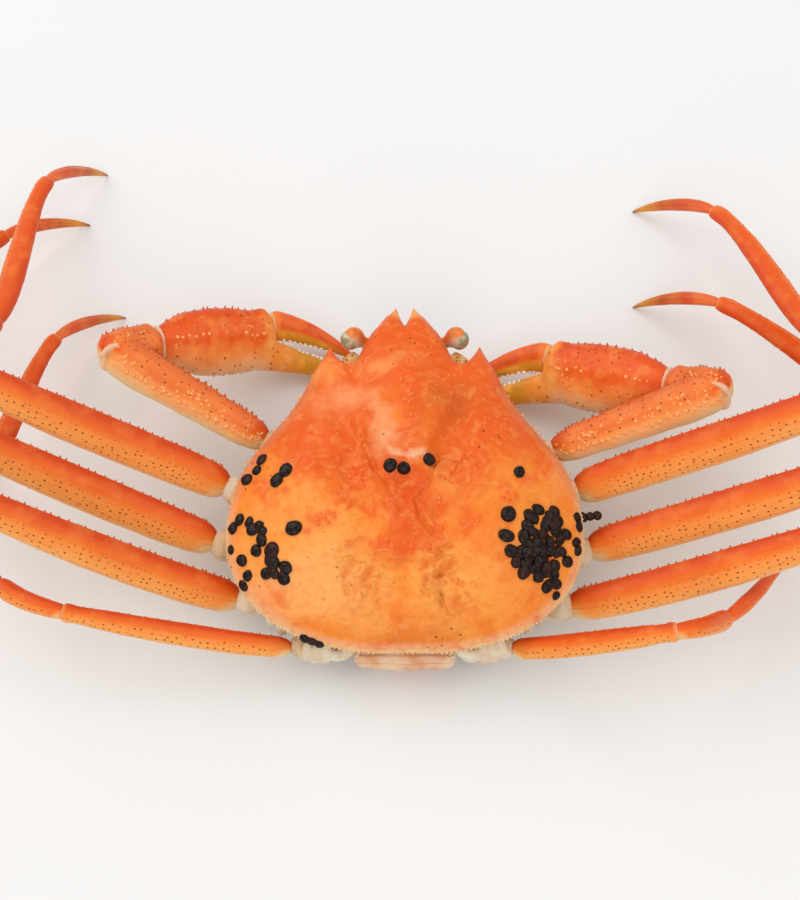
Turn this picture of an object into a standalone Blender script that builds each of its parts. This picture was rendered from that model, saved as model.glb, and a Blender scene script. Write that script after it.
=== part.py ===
"""A boiled snow crab at life size, lying on its belly with its claws and legs spread.

Lengths are in metres and +Z is up. The crab faces +Y, and its left side is at -X. The origin is
the middle of the flat under its belly, on the floor. Each shell segment is one closed solid.
"""

import math
from typing import NamedTuple

import bmesh
import bpy
from mathutils import Matrix, Vector
from mathutils.bvhtree import BVHTree

MM = 0.001
GAP = 0.3 * MM  # what stays free between two segments that meet
UP = Vector((0.0, 0.0, 1.0))

# The body: the carapace's edge lies in one plane, tipped up towards the front.
CARAPACE_WIDTH = 120 * MM
RIM_HEIGHT = 30 * MM
BODY_PITCH = math.radians(6.0)
DOME_HEIGHT = 16.5 * MM
DOME_CENTRE = Vector((0.0, 14 * MM, 0.0))
DOME_FALL = 2.3  # powers of the dome's section: a late fall to the edge, and a round shoulder
DOME_SHOULDER = 0.62
EDGE_DEPTH = 5 * MM
ROSTRUM_DEPTH = 3 * MM
ROSTRUM_START = 58 * MM
ROSTRUM_END = 87 * MM
HEAD_START = 50 * MM
HEAD_REACH = 53 * MM  # how far from the dome's centre the calm edge runs at the start of the head
HEAD_DRAW = 6 * MM  # how much less it is at the rostrum
RING_SHARES = (0.12, 0.26, 0.40, 0.54, 0.67, 0.78, 0.87, 0.94, 0.98)  # from the dome's centre to its edge
EDGE_ROLL = ((0.3, 0.985), (0.75, 0.955), (1.0, 0.92))  # under the edge: share of its depth, of its outline

# Half of the carapace's edge as (sideways, forward) from its rear middle. The flank is a smooth
# curve, and the front keeps its corners: the orbital spine, the orbit and the rostral horn.
FLANK = [(0, -35.2), (16, -34.9), (31.5, -31.4), (44, -25), (54, -15.5), (59.2, -4), (60, 7),
         (58, 19.5), (53, 30.5), (46, 39.8), (39.5, 48.2), (34.8, 56), (31.4, 63)]
FRONT = [(28.6, 68), (26.3, 72.7), (24.4, 69.4), (22.2, 66.6), (19.6, 65.2), (17.4, 66), (15.8, 69.3),
         (13.9, 73.4), (11.8, 77.2), (9.2, 80.2), (7.1, 82.7), (5.1, 85.2), (3, 87.4), (1.7, 83.4),
         (0, 79.6)]
FLANK_STEPS = 1

# Swellings and hollows of the shell: sideways, forward, spread sideways, spread forward, height.
# Those off the midline are on both sides.
SWELLINGS = [(0, 40, 13, 14, 3.6), (0, 58, 10, 9, 1.2), (0, 3, 8, 9, 2.4), (0, -20, 10, 9, 0.8),
             (33, 2, 17, 19, 2.8), (34, 30, 10, 9, 1.6), (17, 25, 5, 9, -2.4), (15, -9, 5, 9, -2.0),
             (22, 50, 7, 8, -2.2), (0, 20, 6, 4, -1.8)]

# Warts on the shell, and the small spines along its front flanks: places as above.
WARTS = [(0, 62), (0, 53), (0, 44), (0, 36), (11, 47), (17, 57), (18, 15), (23, 9), (29, 19), (25, -2),
         (37, 9), (45, 16), (42, 28), (34, 37), (48, 2), (7, -5), (0, 8), (13, 1), (41, -9)]
WART_RADIUS = 1.5 * MM
WART_HEIGHT = 1.1 * MM
WART_SIDES = 5
FLANK_SPINES = 9
FLANK_SPINE_START = 18 * MM
FLANK_SPINE_END = 60 * MM
FLANK_SPINE_LENGTH = 2.0 * MM

# The underbody: the same outline drawn in and moved back, at depths below the carapace's edge.
UNDERBODY_LEVELS = [(5.3, 0.84, 2), (9, 0.85, 3.5), (14, 0.77, 4), (19, 0.66, 4), (24, 0.55, 4)]
UNDERBODY_LOWEST = 0.6 * MM  # of those levels, over the floor
BELLY_SCALE = 0.44
BELLY_BACK = 4 * MM

# The tail flap, along the middle: forward, height, half width.
ABDOMEN_LINE = [(-30.5, 19.4, 16), (-34.2, 18.6, 16.8), (-35.7, 15.6, 16.3), (-35.2, 11.2, 14.5),
                (-33, 6.6, 13), (-29.4, 3, 12.2), (-24, 1.2, 11.6), (-14, 1.1, 10.4), (-2, 1.1, 9),
                (9, 1.1, 7.4), (17, 1.1, 5.4), (22.5, 1.1, 2.6)]
ABDOMEN_THICKNESS = 2.5 * MM

# Eyes, feelers and mouth. A feeler's line gives each place and its half thickness.
EYE_ROOT = Vector((12.6, 74.6, 34.6)) * MM
EYE_END = Vector((18.4, 76.2, 37.4)) * MM
EYE_RADIUS = 3.5 * MM
EYE_STALK_RADIUS = 2.3 * MM
EYE_STALK = ((-0.35, 1.0), (0.1, 0.9), (0.4, 1.0))  # place along it, share of its radius
FEELER_LINE = [(8.2, 52, 25, 2.3), (8.2, 62, 27.6, 2.3), (8.6, 70, 29.4, 2), (9.6, 75.5, 31.2, 1.5),
               (10.2, 79, 32.8, 0.9), (9.2, 81.8, 33.9, 0.5), (7.4, 84.2, 34.7, 0.4), (5.8, 86, 35.2, 0.3)]
MOUTH_TOP = Vector((5.1, 56.5, 22.5)) * MM
MOUTH_BOTTOM = Vector((4.9, 38, 6.5)) * MM
MOUTH_HALF_WIDTH = 4.4 * MM
MOUTH_HALF_THICKNESS = 2.2 * MM

# Every limb's broad sides face up and a little back, unless its pose says otherwise.
LIMB_FACE = Vector((0.0, -0.30, 0.95))
TIP_HEIGHT = -0.1 * MM  # a leg's middle line ends just under the floor, so its tip is cut flat there
DACTYL_CURL = math.radians(14.0)
DACTYL_DIP = math.radians(12.0)


class Leg(NamedTuple):
    """Lengths of a walking leg's segments, and the widest half width of each, from the coxa out."""

    merus: float
    carpus: float
    propodus: float
    dactyl: float
    half_widths: tuple


class Pose(NamedTuple):
    """Where a leg leaves the body, and its segments' headings (degrees from +X) and rises (degrees)."""

    root: tuple
    base: tuple
    merus: tuple
    carpus: tuple
    propodus: tuple
    dactyl_heading: float
    merus_share: float = 1.0


class Claw(NamedTuple):
    """The joints of a claw limb, and the side that its hand's broad face looks to."""

    root: tuple
    base: tuple
    elbow: tuple
    wrist: tuple
    knuckle: tuple
    tip: tuple
    face: tuple


LEGS = {
    1: Leg(108 * MM, 42 * MM, 76 * MM, 38 * MM, (6.4, 6.9, 4.6, 4.4, 2.5)),
    2: Leg(114 * MM, 44 * MM, 78 * MM, 38 * MM, (6.4, 6.8, 4.6, 4.3, 2.5)),
    3: Leg(104 * MM, 40 * MM, 66 * MM, 36 * MM, (6.2, 6.3, 4.2, 3.9, 2.3)),
    4: Leg(76 * MM, 25 * MM, 41 * MM, 29 * MM, (4.9, 3.9, 3.3, 2.6, 1.8)),
}
POSES = {
    "leg1_left": Pose((-43, 18, 15), (-63.5, 27, 20), (166, 32.5), (71, -46), (84.6, -15.8), 54),
    "leg2_left": Pose((-46, 3, 13.5), (-66.9, 7, 18), (164.5, 28.3), (124, -43), (65.8, -15.7), 34.5),
    "leg3_left": Pose((-41, -11.5, 12.5), (-58, -13.3, 17), (168.6, 33.9), (87, -62), (76.5, -15.5), 46.6),
    "leg4_left": Pose((-24, -26.5, 12.5), (-38.5, -30, 15), (175.6, 16.7), (155, -9), (117, -22), 95),
    "leg1_right": Pose((42, 17.5, 15), (61.2, 25.3, 20), (10, 31.2), (109.3, -41.7), (110, -19), 150.5),
    "leg2_right": Pose((45, 1.5, 13.5), (64.8, 4.4, 18), (8.5, 28.3), (77, -56), (134.9, -8.5), 156.7),
    "leg3_right": Pose((40, -12.5, 12.5), (57.3, -16, 17), (8.5, 26), (36, -22), (63, -25), 88),
    "leg4_right": Pose((23, -26, 12.5), (36.5, -30.6, 16), (-8.2, 41.6), (24.6, -34.4), (45.6, -32.7), 70,
                       0.833),
}
CLAWS = {
    "left": Claw((-35, 35.5, 15.5), (-51, 44.4, 21), (-100.6, 66.6, 45), (-88, 75, 33.5),
                 (-49.5, 88.6, 13), (-19, 83.7, 3.4), (0.10, -0.46, 0.88)),
    "right": Claw((36, 34, 15.5), (54, 40.2, 21), (106, 51, 47), (92.5, 57.8, 34.5),
                  (52.5, 75.1, 13.5), (21.5, 72.2, 3.4), (-0.10, -0.46, 0.88)),
}

# How far each joint's end face is turned from the inner segment's heading to the outer one's.
LEG_JOINT_TURNS = (0.5, 0.30, 0.45, 0.45)
CLAW_JOINT_TURNS = (0.5, 0.1, 0.5)

# Half width and half thickness of the claw limb's pieces.
CLAW_COXA_HALF = (6.4, 5.6)
CLAW_MERUS_HALF = (7.2, 5.8)
CLAW_CARPUS_HALF = (7.6, 7.2)
HAND_HALF = (12.2, 7.2)
FINGER_HALF = (4.1, 3.3)
CLAW_HEEL = 4.5 * MM  # how far the carpus of the claw stands out behind its merus's end
KNUCKLE_OFFSET = 4.9 * MM  # from the hand's middle line to each finger's
FINGER_HOOK = 0.5  # how strongly the tips turn in
TIP_GAP = 2.6 * MM  # between the two fingers' middle lines at their tips
FINGER_SINK = 6 * MM  # how far the fixed finger's root runs into the hand

# Profiles: place along the segment, share of the widest half width, share of the half thickness.
COXA = [(0, 0.92, 1.0), (0.35, 1.0, 1.0), (0.62, 0.86, 0.88), (0.85, 0.84, 0.9), (1, 0.78, 0.86)]
MERUS = [(0, 0.66, 0.76), (0.04, 0.74, 0.84), (0.14, 0.93, 0.95), (0.32, 1.0, 1.0), (0.56, 0.98, 0.98),
         (0.78, 0.86, 0.92), (0.93, 0.76, 0.86), (0.97, 0.82, 0.92), (1, 0.72, 0.84)]
CARPUS = [(0, 0.78, 0.8), (0.14, 0.86, 0.88), (0.45, 0.94, 0.94), (0.78, 1.0, 1.0), (0.93, 0.96, 0.96),
          (1, 0.84, 0.84)]
PROPODUS = [(0, 0.7, 0.78), (0.07, 0.82, 0.88), (0.3, 1.0, 1.0), (0.6, 0.88, 0.9), (0.85, 0.70, 0.78),
            (0.96, 0.70, 0.8), (1, 0.6, 0.7)]
DACTYL = [(0, 0.72, 0.72), (0.1, 0.86, 0.9), (0.32, 1.0, 1.0), (0.55, 0.86, 0.9), (0.74, 0.64, 0.72),
          (0.88, 0.4, 0.5), (0.96, 0.22, 0.3), (1, 0.12, 0.16)]
CLAW_MERUS = [(0, 0.62, 0.7), (0.1, 0.76, 0.84), (0.35, 0.9, 0.95), (0.65, 1.0, 1.0), (0.88, 1.06, 1.04),
              (1, 0.92, 0.96)]
CLAW_CARPUS = [(0, 0.34, 0.34), (0.05, 0.60, 0.60), (0.14, 0.82, 0.82), (0.3, 0.97, 0.97), (0.5, 1.0, 1.0),
               (0.75, 0.94, 0.94), (0.92, 0.80, 0.82), (1, 0.66, 0.7)]
HAND = [(0, 0.50, 0.62), (0.08, 0.64, 0.76), (0.25, 0.88, 0.94), (0.45, 1.0, 1.0), (0.7, 0.97, 0.96),
        (0.92, 0.86, 0.86), (1, 0.80, 0.80)]
FINGER = [(0, 1.0, 1.0), (0.12, 1.0, 1.0), (0.35, 0.84, 0.84), (0.6, 0.66, 0.68), (0.82, 0.46, 0.5),
          (0.95, 0.26, 0.3), (1, 0.12, 0.14)]
FLAT_SHARE = 0.60  # thickness over width of a leg's long segments
ROUND_SHARE = 0.80  # and of its coxa and carpus

# Sides of each kind of tube.
LIMB_SIDES = 10
TIP_SIDES = 8
CLAW_SIDES = 12
HAND_SIDES = 14
HEAD_SIDES = 12

# Spines along the limbs: how many in a row, how long, and how far round the second row is.
SPINE_SIDES = 4
LEG_SPINES = {1: 9, 2: 9, 3: 7, 4: 0}
LEG_SPINE_LENGTH = 1.4 * MM
CLAW_SPINES = 8
HAND_SPINES = 7
HAND_LOWER_SPINES = 5
CLAW_SPINE_LENGTH = 1.6 * MM
HAND_LOWER_LENGTH = 1.1 * MM
SECOND_ROW = 0.85
TEETH = 6
TOOTH_LENGTH = 1.6 * MM
TEETH_START = 0.28
TEETH_END = 0.86

SHARP_ANGLE = math.radians(40.0)

SHELL_RED = (0.80, 0.16, 0.03, 1.0)
SHELL_ORANGE = (0.86, 0.27, 0.05, 1.0)
CREAM = (0.78, 0.62, 0.40, 1.0)
AMBER = (0.55, 0.20, 0.04, 1.0)
EYE_GREY = (0.42, 0.36, 0.24, 1.0)


def clear_scene():
    """Removes every object, so that the file holds the crab alone."""
    for obj in list(bpy.data.objects):
        bpy.data.objects.remove(obj)


def material(name, colour, roughness):
    """A shell finish, made once for each name."""
    found = bpy.data.materials.get(name)
    if found:
        return found
    made = bpy.data.materials.new(name)
    made.use_nodes = True
    shader = made.node_tree.nodes["Principled BSDF"]
    shader.inputs["Base Color"].default_value = colour
    shader.inputs["Roughness"].default_value = roughness
    shader.inputs["Metallic"].default_value = 0.0
    return made


def body_point(across, forward, height):
    """A point given from the carapace's edge plane, in the world."""
    point = Matrix.Rotation(BODY_PITCH, 3, "X") @ Vector((across, forward, height))
    return point + UP * RIM_HEIGHT


def heading(yaw, rise):
    """The unit direction at yaw degrees from +X and rise degrees above the level."""
    turn, tilt = math.radians(yaw), math.radians(rise)
    return Vector((math.cos(tilt) * math.cos(turn), math.cos(tilt) * math.sin(turn), math.sin(tilt)))


def new_object(name, bm, finish):
    """Turns a bmesh into a smooth-shaded object with its faces pointing out."""
    bmesh.ops.recalc_face_normals(bm, faces=bm.faces)
    mesh = bpy.data.meshes.new(name)
    bm.to_mesh(mesh)
    bm.free()
    obj = bpy.data.objects.new(name, mesh)
    bpy.context.scene.collection.objects.link(obj)
    if finish:
        mesh.materials.append(finish)
    return obj


def skin_rings(name, rings, finish, middles=None):
    """A closed solid over rings of points, its ends closed by fans round their middles, given or found."""
    bm = bmesh.new()
    loops = [[bm.verts.new(point) for point in ring] for ring in rings]
    for near, far in zip(loops, loops[1:]):
        for i in range(len(near)):
            j = (i + 1) % len(near)
            bm.faces.new((near[i], near[j], far[j], far[i]))
    if middles is None:
        middles = [sum(ring, Vector()) / len(ring) for ring in (rings[0], rings[-1])]
    for loop, place in zip((loops[0], loops[-1]), middles):
        middle = bm.verts.new(place)
        for i in range(len(loop)):
            bm.faces.new((loop[i], loop[(i + 1) % len(loop)], middle))
    return new_object(name, bm, finish)


def hermite(start, end, start_slope, end_slope, t):
    """A point and its direction on the smooth curve from start to end."""
    t2, t3 = t * t, t * t * t
    point = (start * (2 * t3 - 3 * t2 + 1) + start_slope * (t3 - 2 * t2 + t)
             + end * (3 * t2 - 2 * t3) + end_slope * (t3 - t2))
    slope = (start * (6 * t2 - 6 * t) + start_slope * (3 * t2 - 4 * t + 1)
             + end * (6 * t - 6 * t2) + end_slope * (3 * t2 - 2 * t))
    return point, slope.normalized()


def oval(centre, normal, face, half_width, half_thickness, sides):
    """A ring of points square to normal, thin along face, and never below the floor."""
    face = (face - normal * face.dot(normal)).normalized()
    across = normal.cross(face)
    points = []
    for i in range(sides):
        turn = 2 * math.pi * i / sides
        point = centre + across * half_width * math.cos(turn) + face * half_thickness * math.sin(turn)
        point.z = max(point.z, 0.0)
        points.append(point)
    return points


class Segment(NamedTuple):
    """One tube of a limb: its ends, the directions square to its end faces, and its section."""

    start: Vector
    end: Vector
    start_normal: Vector
    end_normal: Vector
    half_width: float
    half_thickness: float
    profile: list
    face: Vector
    bend: float  # slope of the middle line at the ends, over its length

    def line(self, t):
        """The middle line's point and direction at t, half a gap in from each joint."""
        start = self.start + self.start_normal * GAP / 2
        end = self.end - self.end_normal * GAP / 2
        reach = (end - start).length * self.bend
        return hermite(start, end, self.start_normal * reach, self.end_normal * reach, t)

    def half_width_at(self, t):
        """The half width at t, read from the profile."""
        for (t0, w0, _), (t1, w1, _) in zip(self.profile, self.profile[1:]):
            if t <= t1:
                return self.half_width * (w0 + (w1 - w0) * (t - t0) / (t1 - t0))
        return self.half_width * self.profile[-1][1]

    def edge(self, t, turn):
        """A point of the skin at t, turn radians round from its edge, and the way out of the skin there."""
        centre, along = self.line(t)
        face = (self.face - along * self.face.dot(along)).normalized()
        across = along.cross(face)
        ratio = self.half_thickness / self.half_width
        width = self.half_width_at(t)
        point = centre + across * width * math.cos(turn) + face * width * ratio * math.sin(turn)
        out = (across * math.cos(turn) * ratio + face * math.sin(turn)).normalized()
        return point, out

    def solid(self, name, finish, sides):
        """The segment's closed solid."""
        rings = []
        for t, width_share, thickness_share in self.profile:
            centre, along = self.line(t)
            rings.append(oval(centre, along, self.face, self.half_width * width_share,
                              self.half_thickness * thickness_share, sides))
        return skin_rings(name, rings, finish)


def cone(name, root, direction, radius, length):
    """A closed spine whose root is sunk into what it grows from by 0.6 of its length."""
    sunk = 0.6 * length
    bm = bmesh.new()
    bmesh.ops.create_cone(bm, cap_ends=True, segments=SPINE_SIDES, radius1=radius,
                          radius2=radius * 0.12, depth=length + sunk)
    turn = UP.rotation_difference(direction).to_matrix().to_4x4()
    shift = Matrix.Translation(root + direction * (length - sunk) / 2)
    bmesh.ops.transform(bm, matrix=shift @ turn, verts=bm.verts)
    return new_object(name, bm, None)


def wart(root, direction, radius, height):
    """A low, blunt, closed bump, sunk into the shell by its own height."""
    bm = bmesh.new()
    bmesh.ops.create_cone(bm, cap_ends=True, segments=WART_SIDES, radius1=radius * 1.5,
                          radius2=radius * 0.5, depth=height * 2)
    turn = UP.rotation_difference(direction).to_matrix().to_4x4()
    bmesh.ops.transform(bm, matrix=Matrix.Translation(root) @ turn, verts=bm.verts)
    return new_object("wart", bm, None)


def apply_boolean(obj, tools, operation):
    """Joins the tools to obj, or cuts them from it, in one step, and removes them."""
    group = bpy.data.collections.new(obj.name + "_tools")
    bpy.context.scene.collection.children.link(group)
    for tool in tools:
        bpy.context.scene.collection.objects.unlink(tool)
        group.objects.link(tool)
    modifier = obj.modifiers.new(operation.lower(), "BOOLEAN")
    modifier.operation = operation
    modifier.operand_type = "COLLECTION"
    modifier.collection = group
    modifier.solver = "EXACT"
    graph = bpy.context.evaluated_depsgraph_get()
    mesh = bpy.data.meshes.new_from_object(obj.evaluated_get(graph))
    obj.modifiers.clear()
    obj.data = mesh
    for tool in tools:
        bpy.data.objects.remove(tool)
    bpy.data.collections.remove(group)
    keep_largest(obj)


def keep_largest(obj):
    """Keeps the largest connected surface of a mesh, and drops loose scraps."""
    bm = bmesh.new()
    bm.from_mesh(obj.data)
    bmesh.ops.remove_doubles(bm, verts=bm.verts, dist=1e-7)
    unseen, islands = set(bm.verts), []
    while unseen:
        front = [unseen.pop()]
        island = set(front)
        while front:
            for edge in front.pop().link_edges:
                for vert in edge.verts:
                    if vert in unseen:
                        unseen.discard(vert)
                        island.add(vert)
                        front.append(vert)
        islands.append(island)
    largest = max(islands, key=len)
    bmesh.ops.delete(bm, geom=[v for v in bm.verts if v not in largest], context="VERTS")
    bm.to_mesh(obj.data)
    bm.free()


def grown_copy(obj, distance):
    """A copy of obj whose faces stand out by distance, for cutting its neighbours clear of it."""
    bm = bmesh.new()
    bm.from_mesh(obj.data)
    bm.normal_update()
    moves = [v.normal * distance * v.calc_shell_factor() for v in bm.verts]
    for vert, move in zip(bm.verts, moves):
        vert.co += move
    return new_object(obj.name + "_grown", bm, None)


def cut_clear(obj, neighbours):
    """Cuts obj back so that it meets its neighbours face to face, a gap away."""
    apply_boolean(obj, [grown_copy(n, GAP) for n in neighbours], "DIFFERENCE")


def smooth_through(points, steps):
    """Points on the smooth curve through the given ones, steps between each two."""
    flat = [Vector((x, y, 0.0)) * MM for x, y in points]
    padded = [Vector((-flat[1].x, flat[1].y, 0.0))] + flat
    padded.append(flat[-1] * 2 - flat[-2])
    curve = []
    for i in range(1, len(padded) - 2):
        before, start, end, after = padded[i - 1:i + 3]
        for k in range(steps):
            curve.append(hermite(start, end, (end - before) / 2, (after - start) / 2, k / steps)[0])
    curve.append(flat[-1])
    return curve


def carapace_edge():
    """The whole edge of the carapace in its own plane, from the rear middle round by the right side."""
    right = smooth_through(FLANK, FLANK_STEPS) + [Vector((x, y, 0.0)) * MM for x, y in FRONT]
    left = [Vector((-p.x, p.y, 0.0)) for p in reversed(right[1:-1])]
    return right + left


def calm_edge():
    """The edge without its spines and orbits, which the rings above and below it tend to."""
    calm = []
    for point in carapace_edge():
        reach = point - DOME_CENTRE
        front = max(0.0, point.y - ROSTRUM_START) / (ROSTRUM_END - ROSTRUM_START)
        limit = HEAD_REACH - HEAD_DRAW * front if point.y > HEAD_START else reach.length
        calm.append(DOME_CENTRE + reach * min(1.0, limit / reach.length))
    return calm


def dome_height(across, forward, share):
    """Height of the shell over its edge plane, where share is 0 in the middle and 1 at the edge."""
    height = DOME_HEIGHT * max(0.0, 1 - share ** DOME_FALL) ** DOME_SHOULDER
    fade = max(0.0, 1 - share ** 6)
    for x, y, wide, long, swell in SWELLINGS:
        for side in ((1,) if x == 0 else (1, -1)):
            away = ((across / MM - side * x) / wide) ** 2 + ((forward / MM - y) / long) ** 2
            height += swell * MM * math.exp(-away) * fade
    return height


def build_carapace(finish):
    """The back shell with its rostrum, orbital spines, warts and flank spines."""
    edge, calm = carapace_edge(), calm_edge()
    rings = []
    for share in RING_SHARES:
        keep = share ** 11
        ring = []
        for sharp, soft in zip(edge, calm):
            flat = DOME_CENTRE + (sharp * keep + soft * (1 - keep) - DOME_CENTRE) * share
            ring.append(body_point(flat.x, flat.y, dome_height(flat.x, flat.y, share)))
        rings.append(ring)
    rings.append([body_point(p.x, p.y, 0.0) for p in edge])
    for drop, share in EDGE_ROLL:
        ring = []
        for point in edge:
            flat = DOME_CENTRE + (point - DOME_CENTRE) * share
            thin = min(1.0, max(0.0, (point.y - ROSTRUM_START) / (12 * MM)))
            depth = EDGE_DEPTH + (ROSTRUM_DEPTH - EDGE_DEPTH) * thin
            ring.append(body_point(flat.x, flat.y, -depth * drop))
        rings.append(ring)
    top = body_point(0, DOME_CENTRE.y, dome_height(0, DOME_CENTRE.y, 0))
    carapace = skin_rings("carapace", rings, finish, (top, body_point(0, DOME_CENTRE.y, -EDGE_DEPTH)))
    grow_on_carapace(carapace)
    return carapace


def grow_on_carapace(carapace):
    """Sets the warts on the shell's top and the spines along its front flanks, as one body with it."""
    bm = bmesh.new()
    bm.from_mesh(carapace.data)
    tree = BVHTree.FromBMesh(bm)
    bm.free()
    pieces = []
    for x, y in WARTS:
        for side in ((1,) if x == 0 else (1, -1)):
            above = body_point(side * x * MM, y * MM, 60 * MM)
            place, out, _, _ = tree.ray_cast(above, -UP)
            pieces.append(wart(place, out, WART_RADIUS, WART_HEIGHT))
    flank = [p for p in smooth_through(FLANK, 8) if FLANK_SPINE_START < p.y < FLANK_SPINE_END]
    for i in range(FLANK_SPINES):
        place = flank[int(i * (len(flank) - 1) / (FLANK_SPINES - 1))]
        for side in (1, -1):
            root = body_point(side * (place.x - 0.4 * MM), place.y, 0.5 * MM)
            out = Vector((side * 0.8, 0.5, 0.25)).normalized()
            pieces.append(cone("spine", root, out, 0.8 * MM, FLANK_SPINE_LENGTH))
    apply_boolean(carapace, pieces, "UNION")


def build_underbody(finish, abdomen):
    """The underside that carries the limbs, flat where it rests, with the bed of the tail flap."""
    rings = []
    for depth, scale, back in UNDERBODY_LEVELS:
        ring = []
        for point in calm_edge():
            flat = DOME_CENTRE + (point - DOME_CENTRE) * scale
            ring.append(body_point(flat.x, flat.y - back * MM, -depth * MM))
        rings.append(ring)
    for ring in rings:
        for point in ring:
            point.z = max(point.z, UNDERBODY_LOWEST)
    belly = []
    for point in calm_edge():
        flat = DOME_CENTRE + (point - DOME_CENTRE) * BELLY_SCALE
        belly.append(Vector((flat.x, flat.y - BELLY_BACK, 0.0)))
    rings.append(belly)
    underbody = skin_rings("underbody", rings, finish)
    cut_clear(underbody, [abdomen])
    return underbody


def build_abdomen(finish):
    """The tail flap: out from under the rear of the shell, round, and forward along the belly."""
    line = [Vector((0.0, y, z)) * MM for y, z, _ in ABDOMEN_LINE]
    rings = []
    for i, (_, _, half_width) in enumerate(ABDOMEN_LINE):
        along = (line[min(i + 1, len(line) - 1)] - line[max(i - 1, 0)]).normalized()
        out = Vector((1, 0, 0)).cross(along)
        ring = []
        for k in range(HEAD_SIDES):
            turn = 2 * math.pi * k / HEAD_SIDES
            bow = math.copysign(abs(math.sin(turn)) ** 0.7, math.sin(turn))
            across = Vector((half_width * MM * math.cos(turn), 0, 0))
            point = line[i] + across + out * bow * ABDOMEN_THICKNESS / 2
            point.z = max(point.z, 0.0)
            ring.append(point)
        rings.append(ring)
    return skin_rings("abdomen", rings, finish)


def mirrored(vector, side):
    """The vector on the given side of the body, 1 for right and -1 for left."""
    return Vector((vector.x * side, vector.y, vector.z))


def build_head_parts(carapace, underbody, eye_finish, finish):
    """The stalked eyes, the feelers and the mouth's outer feet, on both sides."""
    for side, word in ((-1, "left"), (1, "right")):
        root, end = mirrored(EYE_ROOT, side), mirrored(EYE_END, side)
        along = (end - root).normalized()
        reach = (end - root).length
        rings = []
        for t, share in EYE_STALK:
            radius = EYE_STALK_RADIUS * share
            rings.append(oval(root + along * reach * t, along, UP, radius, radius, HEAD_SIDES))
        for k in range(1, 6):
            turn = math.pi * (0.2 + 0.8 * k / 6)
            centre, radius = end - along * EYE_RADIUS * math.cos(turn), EYE_RADIUS * math.sin(turn)
            rings.append(oval(centre, along, UP, radius, radius, HEAD_SIDES))
        eye = skin_rings("eye_" + word, rings, eye_finish)
        cut_clear(eye, [carapace])

        rings = []
        line = [mirrored(Vector(p[:3]) * MM, side) for p in FEELER_LINE]
        for i, (_, _, _, radius) in enumerate(FEELER_LINE):
            along = (line[min(i + 1, len(line) - 1)] - line[max(i - 1, 0)]).normalized()
            rings.append(oval(line[i], along, UP, radius * MM, radius * MM, TIP_SIDES))
        feeler = skin_rings("antenna_" + word, rings, finish)
        cut_clear(feeler, [carapace, underbody])

        top, bottom = mirrored(MOUTH_TOP, side), mirrored(MOUTH_BOTTOM, side)
        along = (bottom - top).normalized()
        plate = Segment(top, bottom, along, along, MOUTH_HALF_WIDTH, MOUTH_HALF_THICKNESS, MERUS,
                        Vector((0, 1, 0)), 1.0)
        mouth = plate.solid("mouthpart_" + word, finish, LIMB_SIDES)
        cut_clear(mouth, [carapace, underbody])


def blend(first, second, share):
    """The direction between two, share of the way to the second."""
    return (first * (1 - share) + second * share).normalized()


def spines_on(segment, turns, count, length, first=0.12, last=0.92):
    """Rows of spines along a segment's skin, one row for each turn, alternately long and short."""
    pieces = []
    for row, turn in enumerate(turns):
        for i in range(count):
            t = first + (last - first) * (i + 0.35 * (row % 2)) / count
            place, out = segment.edge(t, turn)
            lean = (out + segment.line(t)[1] * 0.35).normalized()
            size = length * (1.0 if i % 2 == 0 else 0.75)
            pieces.append(cone("spine", place, lean, 0.42 * size, size))
    return pieces


def build_leg(name, finishes, carapace, underbody):
    """A walking leg of five segments, from its root on the underbody to its tip on the floor."""
    number = int(name[3])
    size, pose = LEGS[number], POSES[name]
    face = LIMB_FACE.normalized()
    root, base = Vector(pose.root) * MM, Vector(pose.base) * MM
    ways = [(base - root).normalized(), heading(*pose.merus), heading(*pose.carpus), heading(*pose.propodus)]
    knee = base + ways[1] * size.merus * pose.merus_share
    ankle = knee + ways[2] * size.carpus
    toe = ankle + ways[3] * size.propodus
    rise = -math.degrees(math.asin((toe.z - TIP_HEIGHT) / size.dactyl))
    ways.append(heading(pose.dactyl_heading, rise))
    tip = toe + ways[4] * size.dactyl
    widths = [half * MM for half in size.half_widths]
    joints = [blend(a, b, turn) for a, b, turn in zip(ways, ways[1:], LEG_JOINT_TURNS)]

    coxa = Segment(root, base, ways[0], joints[0], widths[0], widths[0] * ROUND_SHARE, COXA, face, 0.9)
    piece = coxa.solid(name + "_coxa", finishes["pale"], LIMB_SIDES)
    cut_clear(piece, [underbody, carapace])

    merus = Segment(base, knee, joints[0], joints[1], widths[1], widths[1] * FLAT_SHARE, MERUS, face, 0.6)
    piece = merus.solid(name + "_merus", finishes["shell"], LIMB_SIDES)
    if LEG_SPINES[number]:
        leading = 0.0 if ways[1].x < 0 else math.pi
        apply_boolean(piece, spines_on(merus, [leading], LEG_SPINES[number], LEG_SPINE_LENGTH), "UNION")

    carpus = Segment(knee, ankle, joints[1], joints[2], widths[2], widths[2] * ROUND_SHARE, CARPUS,
                     face, 0.95)
    carpus.solid(name + "_carpus", finishes["shell"], LIMB_SIDES)
    propodus = Segment(ankle, toe, joints[2], joints[3], widths[3], widths[3] * FLAT_SHARE, PROPODUS,
                       face, 0.7)
    propodus.solid(name + "_propodus", finishes["red"], LIMB_SIDES)

    inward = 1 if ways[4].x > 0 else -1
    curl, dip = math.degrees(DACTYL_CURL) * inward, math.degrees(DACTYL_DIP)
    arrive = heading(pose.dactyl_heading - curl, rise - dip)
    dactyl = Segment(toe, tip, joints[3], arrive, widths[4], widths[4] * FLAT_SHARE, DACTYL, face, 0.9)
    dactyl.solid(name + "_dactyl", finishes["amber"], TIP_SIDES)


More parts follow.
